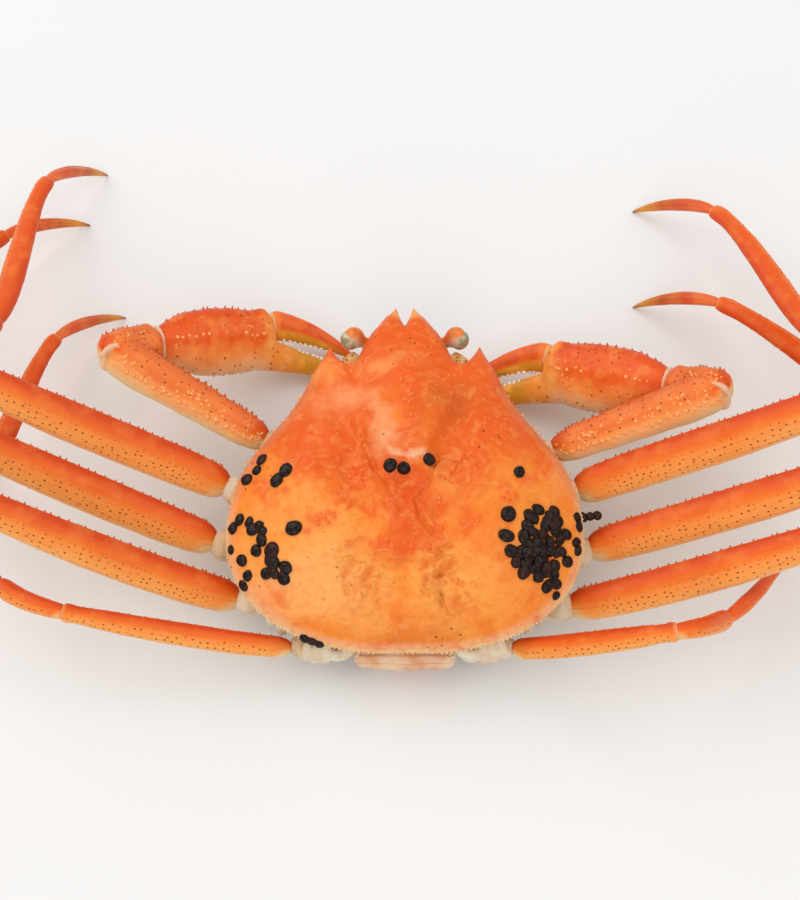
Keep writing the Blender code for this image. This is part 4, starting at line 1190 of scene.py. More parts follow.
@dataclass
class Carapace:
    """The back shell, with its rostrum, eye notches, warts, spines and beaded rim."""

    dome: float = 16.5 * MM
    centre: tuple = (0.0, 14 * MM)
    edge_depth: float = 5 * MM
    rostrum_depth: float = 3 * MM
    rostrum_start: float = 58 * MM
    rostrum_end: float = 87 * MM
    head_start: float = 50 * MM
    head_reach: float = 53 * MM
    head_draw: float = 6 * MM
    rings: int = 112
    flank: tuple = (
        (0, -35.2), (16, -34.9), (31.5, -31.4), (44, -25), (54, -15.5), (59.2, -4), (60, 7), (58, 19.5),
        (53, 30.5), (46, 39.8), (39.5, 48.2), (34.8, 56), (31.4, 63))
    front: tuple = (
        (28.6, 68), (26.3, 72.7), (24.4, 69.4), (22.2, 66.6), (19.6, 65.2), (17.4, 66), (15.8, 69.3),
        (13.9, 73.4), (11.8, 77.2), (9.2, 80.2), (7.1, 82.7), (5.1, 85.2), (3, 87.4), (1.7, 83.4), (0, 79.6))
    notch_reach: int = 7
    rim_round: float = 3.2 * MM
    # Levels under the rim: how deep, as a share of the edge's depth, and how far in.
    drops: tuple = ((0.12, 0.998), (0.3, 0.99), (0.5, 0.977), (0.75, 0.955), (0.92, 0.935), (1.0, 0.90))
    # Mirrored swellings: across, forward, half width, half length, height in millimetres.
    swellings: tuple = (
        (0, 40, 11, 13, 5.2), (0, 58, 9, 8, 2.0), (0, 3, 7, 8, 2.8), (0, -20, 9, 9, 1.0),
        (33, 2, 16, 18, 4.0), (34, 30, 10, 9, 2.6), (17, 25, 4.5, 9, -3.4), (15, -9, 4.5, 9, -3.0),
        (21, 48, 7, 7, -2.6), (0, 20, 6, 4, -2.2), (28, 42, 5, 5, 0.9), (20, 14, 5, 5, 0.9),
        (0, 72, 2.4, 7, -0.5), (27, 60, 4, 5, 0.6), (44, 22, 6, 5, 0.8), (11, 31, 2.4, 5, -0.9),
        (40, -14, 8, 8, 0.7), (24, -22, 7, 6, 0.8), (6, 12, 1.6, 6, -0.4), (8.5, 10, 1.8, 7, 0.4),
        (9, 73, 4, 6, 0.7), (14, 64, 4, 4, 0.5))
    # Folds of the thin shell: across, forward, half width, half length, turn in degrees, height.
    folds: tuple = (
        (-14, -15, 1.7, 9, 8, 0.9), (-10.5, -17, 1.3, 8, -12, -0.9), (-18, -12, 1.5, 6, 20, -0.7),
        (-7, -13, 1.6, 6, 14, 0.6), (-20, -20, 2, 6, -25, 0.6), (8, -13, 2.4, 5, -20, 0.9),
        (11.6, -18, 0.9, 6, -6, -1.2), (14.6, -17, 1.6, 8, 10, 0.9), (18.5, -12, 1.4, 6, -14, -0.7),
        (5, -21, 1.8, 5, 30, 0.5), (20, -22, 2, 6, 25, 0.5), (-15, 30, 1.2, 6, 42, 0.3),
        (-17.5, 32, 1.2, 6, 46, -0.25), (14, 29, 1.2, 5, -38, 0.3), (11.5, 27, 1.2, 5, -42, -0.25),
        (-24, 18, 2.5, 3, 0, 0.8), (-29, 24, 3, 2.4, 30, 0.7), (30, 18, 3, 2.5, 0, 0.7),
        (26, 8, 3, 2.4, 20, 0.6), (-34, 10, 3, 2.5, 10, 0.5), (35, 38, 3, 3, 0, 0.5), (-34, 38, 3, 3, 0, 0.5),
        (24, 30, 2.4, 3, 0, 0.6), (-24, 33, 3, 3, 0, 0.5), (4, -27, 5, 2, 20, -0.4),
        (-9, -25, 5, 2, -25, 0.4), (-3, -3, 3, 1.5, 10, 0.5), (5, -3.5, 3, 1.5, -8, 0.5),
        (-11, -8, 2, 2, 0, 0.6), (12, -8, 2, 3, 0, 0.5))
    # Creases: half width and depth, then points across and forward, in millimetres.
    creases: tuple = (
        (0.75, 0.55, (-14, 34.4), (-9.8, 22.9), (-5.8, 17.7), (-3.5, 13.5), (-1.1, 7.9)),
        (0.75, 0.55, (10.9, 27.2), (6.8, 16.9), (3.6, 11.1), (5.2, 5.5), (9.1, 0.8)),
        (1.0, 0.65, (-9.7, -6.9), (-12.4, -12.9), (-12.8, -17.4), (-13.6, -22.5)),
        (0.9, 0.5, (-9.7, -10), (-14.4, -14.4), (-17.5, -19.5)),
        (0.7, 0.4, (-8, -12), (-9.5, -18), (-8.5, -23)),
        (0.6, 0.9, (11, -12.2), (9.1, -15.2), (11.2, -17.4), (11.6, -21.1), (13.8, -24.3)),
        (0.8, 0.6, (15.3, -8.3), (11, -12.6), (6.7, -13.8), (5.3, -16.8), (7.5, -19)),
        (0.8, 0.5, (5.1, -10.8), (10.6, -6.9), (14.6, -3)),
        (0.7, 0.45, (17.3, -19.5), (14.6, -21.8), (17.7, -24.6)),
        (0.7, 0.4, (14.5, -12), (18.5, -15.5), (20.5, -20)), (0.7, 0.35, (-17, -8), (-20, -13), (-19, -18)),
        (2.4, 0.9, (-25.3, 47.6), (-21.4, 40.4), (-13.1, 30.8), (-9.9, 25.4)),
        (2.4, 0.9, (20.2, 46.2), (15.1, 37.2), (11.7, 30.8), (10.1, 27.2)),
        (1.6, 0.5, (-27.5, 22.7), (-22.5, 15.7), (-16.1, 11.3), (-11.3, 8.8)),
        (1.6, 0.5, (23.6, 22.5), (21.1, 15.6), (15.5, 9.7), (10.7, 7.2)),
        (1.3, 0.5, (-9.7, -6.9), (-3.4, -9.3), (2.8, -8.5), (8, -9)))
    # Patches of warts: across, forward, half width, half length, count.
    wart_patches: tuple = (
        (0.2, 61, 2.6, 4, 9), (0.5, 54, 2.6, 3.6, 11), (0.7, 47, 3, 4, 15), (0.9, 36.5, 3.2, 4.4, 17),
        (0.6, 30.4, 3.4, 2, 6), (-15.5, 20.8, 3.6, 3.4, 15), (18.7, 20.6, 4.2, 3.4, 16),
        (-19.5, 13, 4.2, 4, 12), (21, 5, 3.2, 4.4, 13), (-12, 9, 3, 3, 8), (-6.5, -2.6, 4.6, 1.6, 14),
        (5.8, -3.6, 4.8, 1.7, 14), (-26, 6, 3.4, 2.2, 10), (33.6, 14.6, 3.2, 2.6, 10), (-31, 3.6, 3.4, 3, 8),
        (40, 20, 3.4, 3, 8), (-43, 15, 4, 3, 6), (-28, 40, 4, 3, 6), (30, 41, 4, 3, 8), (12, 10, 2, 4, 8),
        (-36, 24, 4, 4, 6), (10.5, 1, 1.6, 3, 6), (-12, 58, 4, 1.2, 5), (12, 58, 4, 1.2, 5),
        (47, 26, 3.4, 3, 8), (-49, 20, 3, 3, 6))

    def __post_init__(self) -> None:
        """Draws where the warts stand: across, forward and radius in millimetres, and whether they crowd."""
        draw = random.Random(11)
        self.warts = []
        for x, y, wide, long, count in self.wart_patches:
            for _ in range(count):
                turn, reach = draw.uniform(0, 2 * math.pi), math.sqrt(draw.random())
                self.warts.append((x + wide * reach * math.cos(turn), y + long * reach * math.sin(turn),
                                   draw.uniform(0.4, 0.85), 1.0))
        for _ in range(100):
            x, y = draw.uniform(-50, 50), draw.uniform(-26, 62)
            if (x / 54) ** 2 + ((y - 14) / 52) ** 2 < 1:
                self.warts.append((x, y, draw.uniform(0.28, 0.5), 0.0))

    def edge_line(self) -> Array:
        """The shell's whole edge in its own plane, from the rear middle round by the right side."""
        line = np.array([(-self.flank[1][0], self.flank[1][1]), *self.flank])
        knots = np.arange(len(line)) - 1.0
        places = np.arange(10 * (len(line) - 2) + 1) / 10
        flank = np.column_stack([through(knots, column, places)[0] for column in line.T])
        front = np.array([self.flank[-1], *self.front])
        right = np.vstack((flank, [a + (b - a) * k / 4 for a, b in pairwise(front) for k in range(1, 5)]))
        return np.vstack((right, right[-2:0:-1] * (-1, 1))) * MM

    def trunk_line(self, edge: Array) -> Array:
        """The edge drawn in at the head, which the trunk under the shell follows."""
        reach = edge - np.array(self.centre)
        length = np.linalg.norm(reach, axis=1)
        front = np.maximum(0, edge[:, 1] - self.rostrum_start) / (self.rostrum_end - self.rostrum_start)
        limit = np.where(edge[:, 1] > self.head_start, self.head_reach - self.head_draw * front, length)
        return np.array(self.centre) + reach * np.minimum(1.0, limit / length)[:, None]

    def guides(self, edge: Array) -> tuple[Array, Array]:
        """Two smooth reaches for each point of the edge: inside its notches, and over its spines."""
        reach = np.linalg.norm(edge - np.array(self.centre), axis=1)
        steps = range(-self.notch_reach, self.notch_reach + 1)
        inner, outer = (pick([np.roll(reach, k) for k in steps], axis=0) for pick in (np.min, np.max))
        inner, outer = (np.mean([np.roll(line, k) for k in steps], axis=0) for line in (inner, outer))
        head = climb(edge[:, 1], self.head_start, self.head_start + 10 * MM)
        return (reach * (1 - head) + np.minimum(inner, reach * 0.99) * head,
                reach * (1 - head) + np.maximum(outer, reach) * head)

    def height(self, plan: Array, share: Array, inside: Array) -> tuple[Array, Array, Array]:
        """The shell's height over its edge plane.

        Args:
            plan: Places across and forward, one row each.
            share: 0 at the middle and 1 at the smooth line over the spines.
            inside: How far each place is from the edge.

        Returns:
            The heights, how red each place is from its warts, and its depth in a crease, for painted shade.
        """
        x, y = plan.T / MM
        share, lip = np.minimum(share, 1.0), climb(inside, 0, self.rim_round)
        high = self.dome * np.maximum(0, 1 - share**2.3) ** 0.62 * np.sqrt(1 - (1 - lip) ** 2)
        fade = np.maximum(0, 1 - share**6) * lip
        for cx, cy, wide, long, swell in self.swellings:
            for side in (1,) if cx == 0 else (1, -1):
                high += swell * MM * bell(x - side * cx, wide) * bell(y - cy, long) * fade
        for cx, cy, wide, long, turn, swell in self.folds:
            c, s = math.cos(math.radians(turn)), math.sin(math.radians(turn))
            u, v = (x - cx) * c + (y - cy) * s, (y - cy) * c - (x - cx) * s
            high += swell * MM * bell(u, wide) * bell(v, long) * fade
        crease_colour_and_shade, blush = np.zeros(len(x)), np.zeros(len(x))
        wander = 0.8 * ripple(np.column_stack((plan, crease_colour_and_shade)), 4 * MM, 2.0)
        for wide, deep, *line in self.creases:
            near = np.abs(near_line(x, y, line) + wander) / wide
            high -= 1.4 * deep * MM * (bell(near, 1) - 0.55 * bell(near - 2.3, 1.2)) * fade
            crease_colour_and_shade = np.maximum(crease_colour_and_shade, bell(near, 1) * min(1.0, 0.6 / wide))
        for wart_x, wart_y, size, crowd in self.warts:
            away = np.hypot(x - wart_x, y - wart_y)
            high += 0.42 * size * MM * bell(away, 1.25 * size) * fade
            blush = np.maximum(blush, crowd * bell(away, math.sqrt(2.6)))
        return high, blush, crease_colour_and_shade

    def crumples(self, plan: Array, share: Array) -> Array:
        """The fine unevenness of the shell, and its crumples where it is thin."""
        x, y = plan.T / MM
        spot = np.column_stack((plan, np.zeros(len(plan))))
        thin = bell(np.abs(x) - 13, 9) * bell(y + 14, 13) + 0.7 * bell(np.abs(x) - 22, 10) * bell(y - 20, 12)
        even = 0.50 * ripple(spot, 8 * MM) + 0.24 * ripple(spot, 3.2 * MM, 5.0)
        sharp = (0.58 * (1 - 2.6 * np.abs(ripple(spot, 5.2 * MM, 9.0)))
                 + 0.40 * (1 - 3.0 * np.abs(ripple(spot, 2.7 * MM, 3.0))))
        return np.maximum(0, 1 - share**8) * (even + thin * sharp) * MM

    def build(self, paints: Paints) -> None:
        """Builds the shell and all that grows on it."""
        edge, middle = self.edge_line(), np.array(self.centre)
        inner, outer = self.guides(edge)
        levels = range(1, len(self.drops) + 1)
        shares = [0.012 + 0.988 * (k / (self.rings - 1)) ** 0.92 for k in range(self.rings)]
        stations = [(0.0, s, s) for s in shares] + [(-0.1 * k, 1 + 0.05 * k, 1 + 0.05 * k) for k in levels]
        shell = Bench.upright_tube("carapace_shell", stations, len(edge))
        flat = Bench.points(shell)
        radius, index = ring_places(flat, len(edge))
        share, way = np.minimum(radius, 1.0), edge[index] - middle
        edge_reach = np.linalg.norm(way, axis=1)
        t = climb(share, 0.78, 1.0)
        keep = t * t * (3 - 2 * t)
        reach = share * (inner[index] * (1 - keep) + edge_reach * keep)
        plan = middle + way * (reach / edge_reach)[:, None]
        high, blush, crease_colour_and_shade = self.height(plan, reach / outer[index], near_line(*plan.T, [*edge, edge[0]]))
        high += self.crumples(plan, share)
        under = np.maximum(0, np.round(-flat[:, 2] / 0.1)).astype(int)
        front = climb(plan[:, 1], self.rostrum_start, self.rostrum_start + 12 * MM)
        depth = self.edge_depth + (self.rostrum_depth - self.edge_depth) * front
        for level, (drop, draw) in zip(levels, self.drops):
            rows = under == level
            plan[rows] = middle + way[rows] * (
                draw * np.minimum(1, radius[rows] / (1 + 0.05 * level)))[:, None]
            high[rows] = -depth[rows] * drop
        high[(under == 0) & (share > 0.999)] = 0.0
        Bench.move_points(shell, body_points(plan, high))
        write_map(shell, "share", index / len(edge), share + under * 0.03)
        soft = climb(plan[:, 1], 46 * MM, 54 * MM) * climb(share, 0.45, 0.60) * climb(share, 0.96, 0.90)
        Bench.soften(shell, soft * (under == 0), 16)
        Bench.write(shell, "blush", blush * (under == 0))
        # The crease mask drives the finish's painted shade and deeper red.
        Bench.write(shell, "crease_colour_and_shade", crease_colour_and_shade * (under == 0))
        Bench.face_out(shell)
        Bench.shade(shell)
        self.tree = BVHTree.FromPolygons([v.co for v in shell.data.vertices],
                                         [p.vertices for p in shell.data.polygons])
        dress(shell, paints.carapace, Slot.SHELL, "carapace")
        self.grow_warts(paints)
        self.grow_edge(edge, paints)
        EggCases(self).build(paints)

    def on_back(self, across: float, forward: float) -> tuple[Vector, Vector]:
        """The place and the way out of the shell over a point of its edge plane, given in millimetres."""
        way = -(PITCH @ UP)
        place, out, _, _ = self.tree.ray_cast(body_point(across * MM, forward * MM, 60 * MM), way)
        if place is None:
            aside = Vector((math.copysign(1, across), 0, 0.2)).normalized()
            return body_point(across * MM, forward * MM, -1.0 * MM), aside
        return place, out if out.dot(way) < 0 else -out

    def grow_warts(self, paints: Paints) -> None:
        """Sets the low red warts where the shell swells under them."""
        warts = Scatter(WART, 11)
        for x, y, size, _ in self.warts:
            place, out = self.on_back(x, y)
            warts.set(place - out * 0.15 * size * MM, out, size * 0.95 * MM, warts.draw.uniform(0.4, 0.6))
        dress(warts.join("carapace_warts"), paints.wart, Slot.SHELL)

    def grow_edge(self, edge: Array, paints: Paints) -> None:
        """Sets the spines along the front flanks and the beads along the rear rim."""
        spines, beads = Scatter(SPINE, 12), Scatter(WART, 13)
        walked = 0.0
        for (x0, y0), (x1, y1) in zip(edge, np.roll(edge, -1, axis=0)):
            x, y = (x0 + x1) / 2, (y0 + y1) / 2
            walked += math.hypot(x1 - x0, y1 - y0)
            out = (PITCH @ (Vector((y1 - y0, x0 - x1, 0)).normalized() + UP * 0.1)).normalized()
            if 12 * MM < y < 62 * MM and walked > 2.1 * MM:
                foot = body_point(x, y, -0.4 * MM) - out * 0.2 * MM
                spines.set(foot, out, spines.draw.uniform(0.8, 1.7) * MM)
                walked = 0.0
            elif y <= 12 * MM and walked > 0.7 * MM:
                beads.set(body_point(x, y, -0.3 * MM), out, beads.draw.uniform(0.30, 0.60) * MM)
                walked = 0.0
        dress(spines.join("carapace_spines"), paints.rim_spine, Slot.SHELL)
        dress(beads.join("carapace_rim_beads"), paints.rim, Slot.PALE)


@dataclass
class EggCases:
    """Round black egg cases stuck to the back shell."""

    shell: Carapace
    radius: float = 2.35 * MM
    # Groups on the shell: across and forward in millimetres, and size over the usual.
    places: tuple = (
        (-48.3, 29, 0.9), (-49.8, 25.1, 0.8), (-53.3, 22.4, 1), (-39.6, 23.2, 1), (-42.5, 20, 1.05),
        (-5, 23.6, 1), (-0.4, 23, 0.95), (7.9, 25.6, 0.95), (37.7, 22.2, 0.85), (-55, 8.1, 0.85),
        (-57.3, 5.7, 0.9), (-50.2, 3.9, 1), (-48.2, 4.8, 0.8), (-47, 0, 0.9), (-36.2, 2.5, 1.15),
        (-48.9, -3.2, 0.9), (-43.5, -3.9, 1.2), (-43.2, -7.7, 1.15), (-58, -1.3, 0.75), (-53.9, -5.7, 0.9),
        (-38.8, -9.7, 0.95), (-45.5, -11, 0.85), (-42.5, -11.2, 0.8), (-39.4, -12.9, 0.95),
        (-51.8, -10.8, 0.8), (-53.4, -13.4, 0.85), (-32.9, -30.6, 0.75), (-30.4, -31.5, 0.75),
        (-28.2, -32.4, 0.7), (33.5, 7, 1.15), (32.7, -0.3, 1.05), (34.3, -5, 1), (38.7, 0.1, 1.05),
        (40.5, 7, 1), (43.7, 9.8, 0.95), (39.8, 3.5, 0.95), (49.3, 9.9, 0.9), (50.2, 6.6, 1), (47, 5.8, 1),
        (49.7, 3.1, 1), (45.2, 1.1, 1), (53.3, 2.7, 0.85), (47.1, -3.2, 1.05), (49.9, -3.4, 0.85),
        (42.7, -4.6, 1.1), (37.6, -5.1, 1.05), (36, -8.2, 0.85), (39.3, -9, 1), (42.3, -9.4, 1.05),
        (38.4, -11.2, 0.95), (45.4, -10.3, 0.95), (48.8, -8.3, 1), (53.5, -6.1, 0.9), (48.8, -11.2, 0.85),
        (57.6, 9.6, 0.8), (58.2, 6.5, 0.85), (56.9, 0.7, 0.8), (57.4, -1.8, 0.8), (42.9, -1.8, 1),
        (46.5, -14.6, 1), (49.8, -13.6, 0.8), (49.6, -17, 0.7), (45, -7, 0.95), (44.9, -1.2, 0.9),
        (40, -2.4, 0.9), (51, 0.6, 0.85), (46, 4.2, 0.9), (42.2, 6.4, 0.8), (47.6, 8.2, 0.8),
        (40, -6.8, 0.95), (43.4, -12.2, 0.85), (51.4, -3.2, 0.8), (-51.6, 6.6, 0.8), (-46.8, 2.8, 0.75),
        (-43.6, -5.9, 1))
    # More cases that sit on the others: across, forward, size and rise in millimetres.
    piled: tuple = (
        (43.9, -4.4, 0.8, 1.3), (46.9, -0.9, 0.8, 1.3), (39.2, -5.1, 0.85, 1.3), (48.3, 4.6, 0.75, 1.2),
        (41.2, 1.6, 0.75, 1.2), (45.2, -8.8, 0.8, 1.2), (42.6, -7.6, 0.8, 1.4))
    stray: tuple = ((60.4, 11.2, 0.8), (62.8, 11.5, 0.72), (65.2, 11.9, 0.72))

    def build(self, paints: Paints) -> None:
        """Sets each egg case on the shell, and the short chain that hangs over its right edge."""
        cases = Scatter(EGG_CASE, 14)
        for x, y, size in self.places:
            place, out = self.shell.on_back(x, y)
            cases.set(place, out, self.radius * size * 0.98, cases.draw.uniform(0.65, 1.0),
                      cases.draw.uniform(0.88, 1.16))
        for x, y, size, rise in self.piled:
            place, out = self.shell.on_back(x, y)
            cases.set(place + out * rise * MM, out, self.radius * size * 0.98, 0.9,
                      cases.draw.uniform(0.88, 1.16))
        for x, y, size in self.stray:
            cases.set(body_point(x * MM, y * MM, -2.4 * MM), Vector((0.2, -0.1, 1)).normalized(),
                      self.radius * size * 0.92, 1.2, 1.05)
        whole = cases.join("egg_cases")
        points = Bench.points(whole)
        sway = np.column_stack([ripple(points, 2.1 * MM, seed) for seed in (1.0, 4.0, 7.0)])
        Bench.move_points(whole, points + sway * 0.22 * MM)
        dress(whole, paints.egg_case, Slot.EYE)


@dataclass
class Underside:
    """The trunk under the back shell, the tail flap and the mouth's outer feet."""

    levels: tuple = ((5.3, 0.84, 2), (9, 0.85, 3.5), (14, 0.77, 4), (19, 0.66, 4), (24, 0.55, 4))
    belly_scale: float = 0.44
    belly_back: float = 4 * MM
    lowest: float = 0.6 * MM
    flap_line: tuple = (
        (-30.5, 19.4, 16), (-34.2, 18.6, 16.8), (-35.7, 15.6, 16.3), (-35.2, 11.2, 14.5), (-33, 6.6, 13),
        (-29.4, 3, 12.2), (-24, 1.2, 11.6), (-14, 1.1, 10.4), (-2, 1.1, 9), (9, 1.1, 7.4), (17, 1.1, 5.4),
        (22.5, 1.1, 2.6))
    flap_thickness: float = 2.5 * MM
    fold_depth: float = 0.5 * MM
    plate_edges: tuple = (-0.02, 0.04, 0.085, 0.15, 0.24, 0.37, 0.53, 0.72, 1.03)
    # Lobes of skin behind the last legs' roots: half width and half thickness, and points in millimetres.
    lobes: tuple = (
        (2.6, 1.9, (15.5, -31.2, 19.6), (19.5, -32.8, 18.2), (24, -33.2, 17), (28.5, -31, 15.5)),
        (2.4, 2.0, (25.5, -30, 20.5), (26.6, -33.0, 17.5), (26.8, -33.4, 13), (26, -31, 9.5)),
        (2.2, 1.9, (28.2, -29.4, 20.8), (29.6, -32.8, 18), (30, -33.3, 13.5), (29.2, -31, 9)),
        (2.3, 1.9, (31.2, -28.2, 21), (32.6, -31.6, 18), (33, -32.2, 13.5), (32.4, -30.4, 9)),
        (3.2, 2.2, (17.5, -29, 16.5), (20.5, -31.6, 14.5), (24, -32, 12), (28, -30, 10.5)),
        (2.8, 2.0, (19, -28.5, 12), (22, -30.6, 10), (26, -30.6, 8), (30, -28.5, 7.5)),
        (1.9, 1.7, (43, -17, 22), (44.6, -20, 19), (45, -21, 15), (43.6, -19.5, 11)),
        (1.9, 1.7, (40, -20.5, 22), (41.2, -23.2, 19), (41.4, -24, 14.6), (40, -22.2, 10.5)))

    def build(self, shell: Carapace, paints: Paints) -> None:
        """Builds the trunk, the flap and the mouth."""
        self.build_trunk(shell, paints)
        self.build_flap(paints)
        self.build_mouth(paints)
        self.build_lobes(paints)

    def build_trunk(self, shell: Carapace, paints: Paints) -> None:
        """The cream trunk, grooved between the limbs' roots."""
        edge, middle = shell.trunk_line(shell.edge_line()), np.array(shell.centre)
        steps = 34
        trunk = Bench.upright_tube("trunk", [(-k / steps, 1.0, 1.0) for k in range(steps + 1)], len(edge))
        flat = Bench.points(trunk)
        radius, index = ring_places(flat, len(edge))
        t, way = np.clip(-flat[:, 2], 0, 1), edge[index] - middle
        rows = np.array([*self.levels, (30, self.belly_scale, 4)], float)
        depth, scale, back = (np.interp(t, np.linspace(0, 1, len(rows)), column) for column in rows.T)
        turn = np.arctan2(way[:, 1], way[:, 0])
        groove = 0.022 * np.cos(turn * 14) * np.sin(math.pi * np.clip(t * 1.1, 0, 1))
        plan = middle + way * ((scale + groove) * np.minimum(1, radius))[:, None]
        placed = body_points(plan - np.outer(back, (0, MM)), -depth * MM)
        placed[:, 2] = np.maximum(placed[:, 2], self.lowest)
        last = t > 0.999
        placed[last] = np.column_stack((plan[last, 0], plan[last, 1] - self.belly_back, np.zeros(last.sum())))
        Bench.move_points(trunk, placed)
        Bench.face_out(trunk)
        dress(Bench.shade(trunk), paints.pale, Slot.PALE, "underbody")

    def build_flap(self, paints: Paints) -> None:
        """The tail flap: seven plates, each edge lapping over the next."""
        line = [Vector((0.0, y, z)) * MM for y, z, _ in self.flap_line]
        widest = max(w for _, _, w in self.flap_line)
        profile = [(k, w / widest, 1.0) for k, (_, _, w) in zip(np.linspace(0, 1, len(line)), self.flap_line)]
        edges = np.array(self.plate_edges)

        def plates(t: Array, share: Array) -> Array:
            """How far each plate stands out: rising to its own edge, with a low ridge along the middle."""
            off = np.minimum(share, 1 - share)
            bowed = t + 0.02 * np.cos(off * 2 * math.pi)
            i = np.clip(np.searchsorted(edges, bowed, side="right") - 1, 0, len(edges) - 2)
            rise = climb(bowed, edges[i], edges[i + 1])
            stand = 0.35 * rise - 0.9 * (1 - rise) ** 8 + 0.5 * bell(off, 0.05)
            return np.where(off < 0.26, MM * stand, 0.0)

        flap = Tube("tail_flap", FlapCourse(line, UP), widest * MM, self.flap_thickness / 2, profile,
                    Side.LEFT,
                    sides=48, steps=150, fullness=2.6, levels=0, lumps=0.25 * MM, relief=plates)
        dress(flap.build(), paints.flap, Slot.PALE, "abdomen")
        beads = Scatter(WART, 17)
        for _ in range(56):
            place, off = beads.draw.uniform(0.060, 0.100), beads.draw.triangular(0.10, 0.235, 0.21)
            share = off if beads.draw.random() < 0.5 else 1 - off
            beads.stud(flap, place, share, 0.0, beads.draw.uniform(0.2, 0.36) * MM, 0.9)
        dress(beads.join("tail_flap_beads"), paints.rim, Slot.PALE)

    def build_lobes(self, paints: Paints) -> None:
        """Swollen, folded skin between the last legs' roots and the tail flap, grown together from lobes."""
        lobes = []
        for side in Side:
            for i, (wide, thick, *points) in enumerate(self.lobes):
                course = Path(side_line(points, side), Vector((0, -1, 0.2)))
                lobes.append(Tube(f"lobe_{side.word}_{i}", course, wide * MM, thick * MM, PAD, side, sides=20,
                                  steps=14, fullness=2.0, lumps=0.3 * MM).build())
        skin = Bench.join("flank_lobes", lobes)
        Bench.apply(skin, "REMESH", mode="VOXEL", voxel_size=0.4 * MM, use_smooth_shade=True)
        Bench.apply(skin, "SMOOTH", factor=0.5, iterations=9)
        folded = Bench.points(skin)
        folded += 0.35 * MM * ripple(folded, 3.4 * MM)[:, None] * np.array((0.4, 1.0, 0.2))
        Bench.apply(skin, "SMOOTH", factor=0.5, iterations=60)
        # Depth below the smoothed skin becomes the mask of painted shade in the crevices.
        out = np.array([tuple(v.normal) for v in skin.data.vertices])
        depth = ((Bench.points(skin) - folded) * out).sum(axis=1)
        Bench.move_points(skin, folded)
        Bench.write(skin, "crease_colour_and_shade", climb(depth, 0, self.fold_depth))
        dress(skin, paints.lobe, Slot.PALE)

    def build_mouth(self, paints: Paints) -> None:
        """The two broad feet that close the mouth."""
        for side in Side:
            top, low = side_line(((5.1, 56.5, 22.5), (4.9, 38, 6.5)), side)
            way = (low - top).normalized()
            foot = Tube(f"mouth_foot_{side.word}", Axis(top, low, way, way, Vector((0, 1, 0)), 1.0), 4.3 * MM,
                        2.1 * MM, ((0, 0.66, 0.76), (0.04, 0.74, 0.84), (0.14, 0.93, 0.95), *MERUS[6:]), side,
                        lumps=0.15 * MM)
            dress(foot.build(), paints.pale, Slot.PALE, f"mouthpart_{side.word}")


class FlapCourse(Path):
    """The tail flap's middle line, with its broad side out from the body."""

    def frames(self, places: Array) -> Frames:
        """Where the line runs and how it is turned, as for an Axis."""
        centre, along, _, _ = super().frames(places)
        across = np.tile((1.0, 0.0, 0.0), (len(centre), 1))
        return centre, along, across, np.cross(across, along)


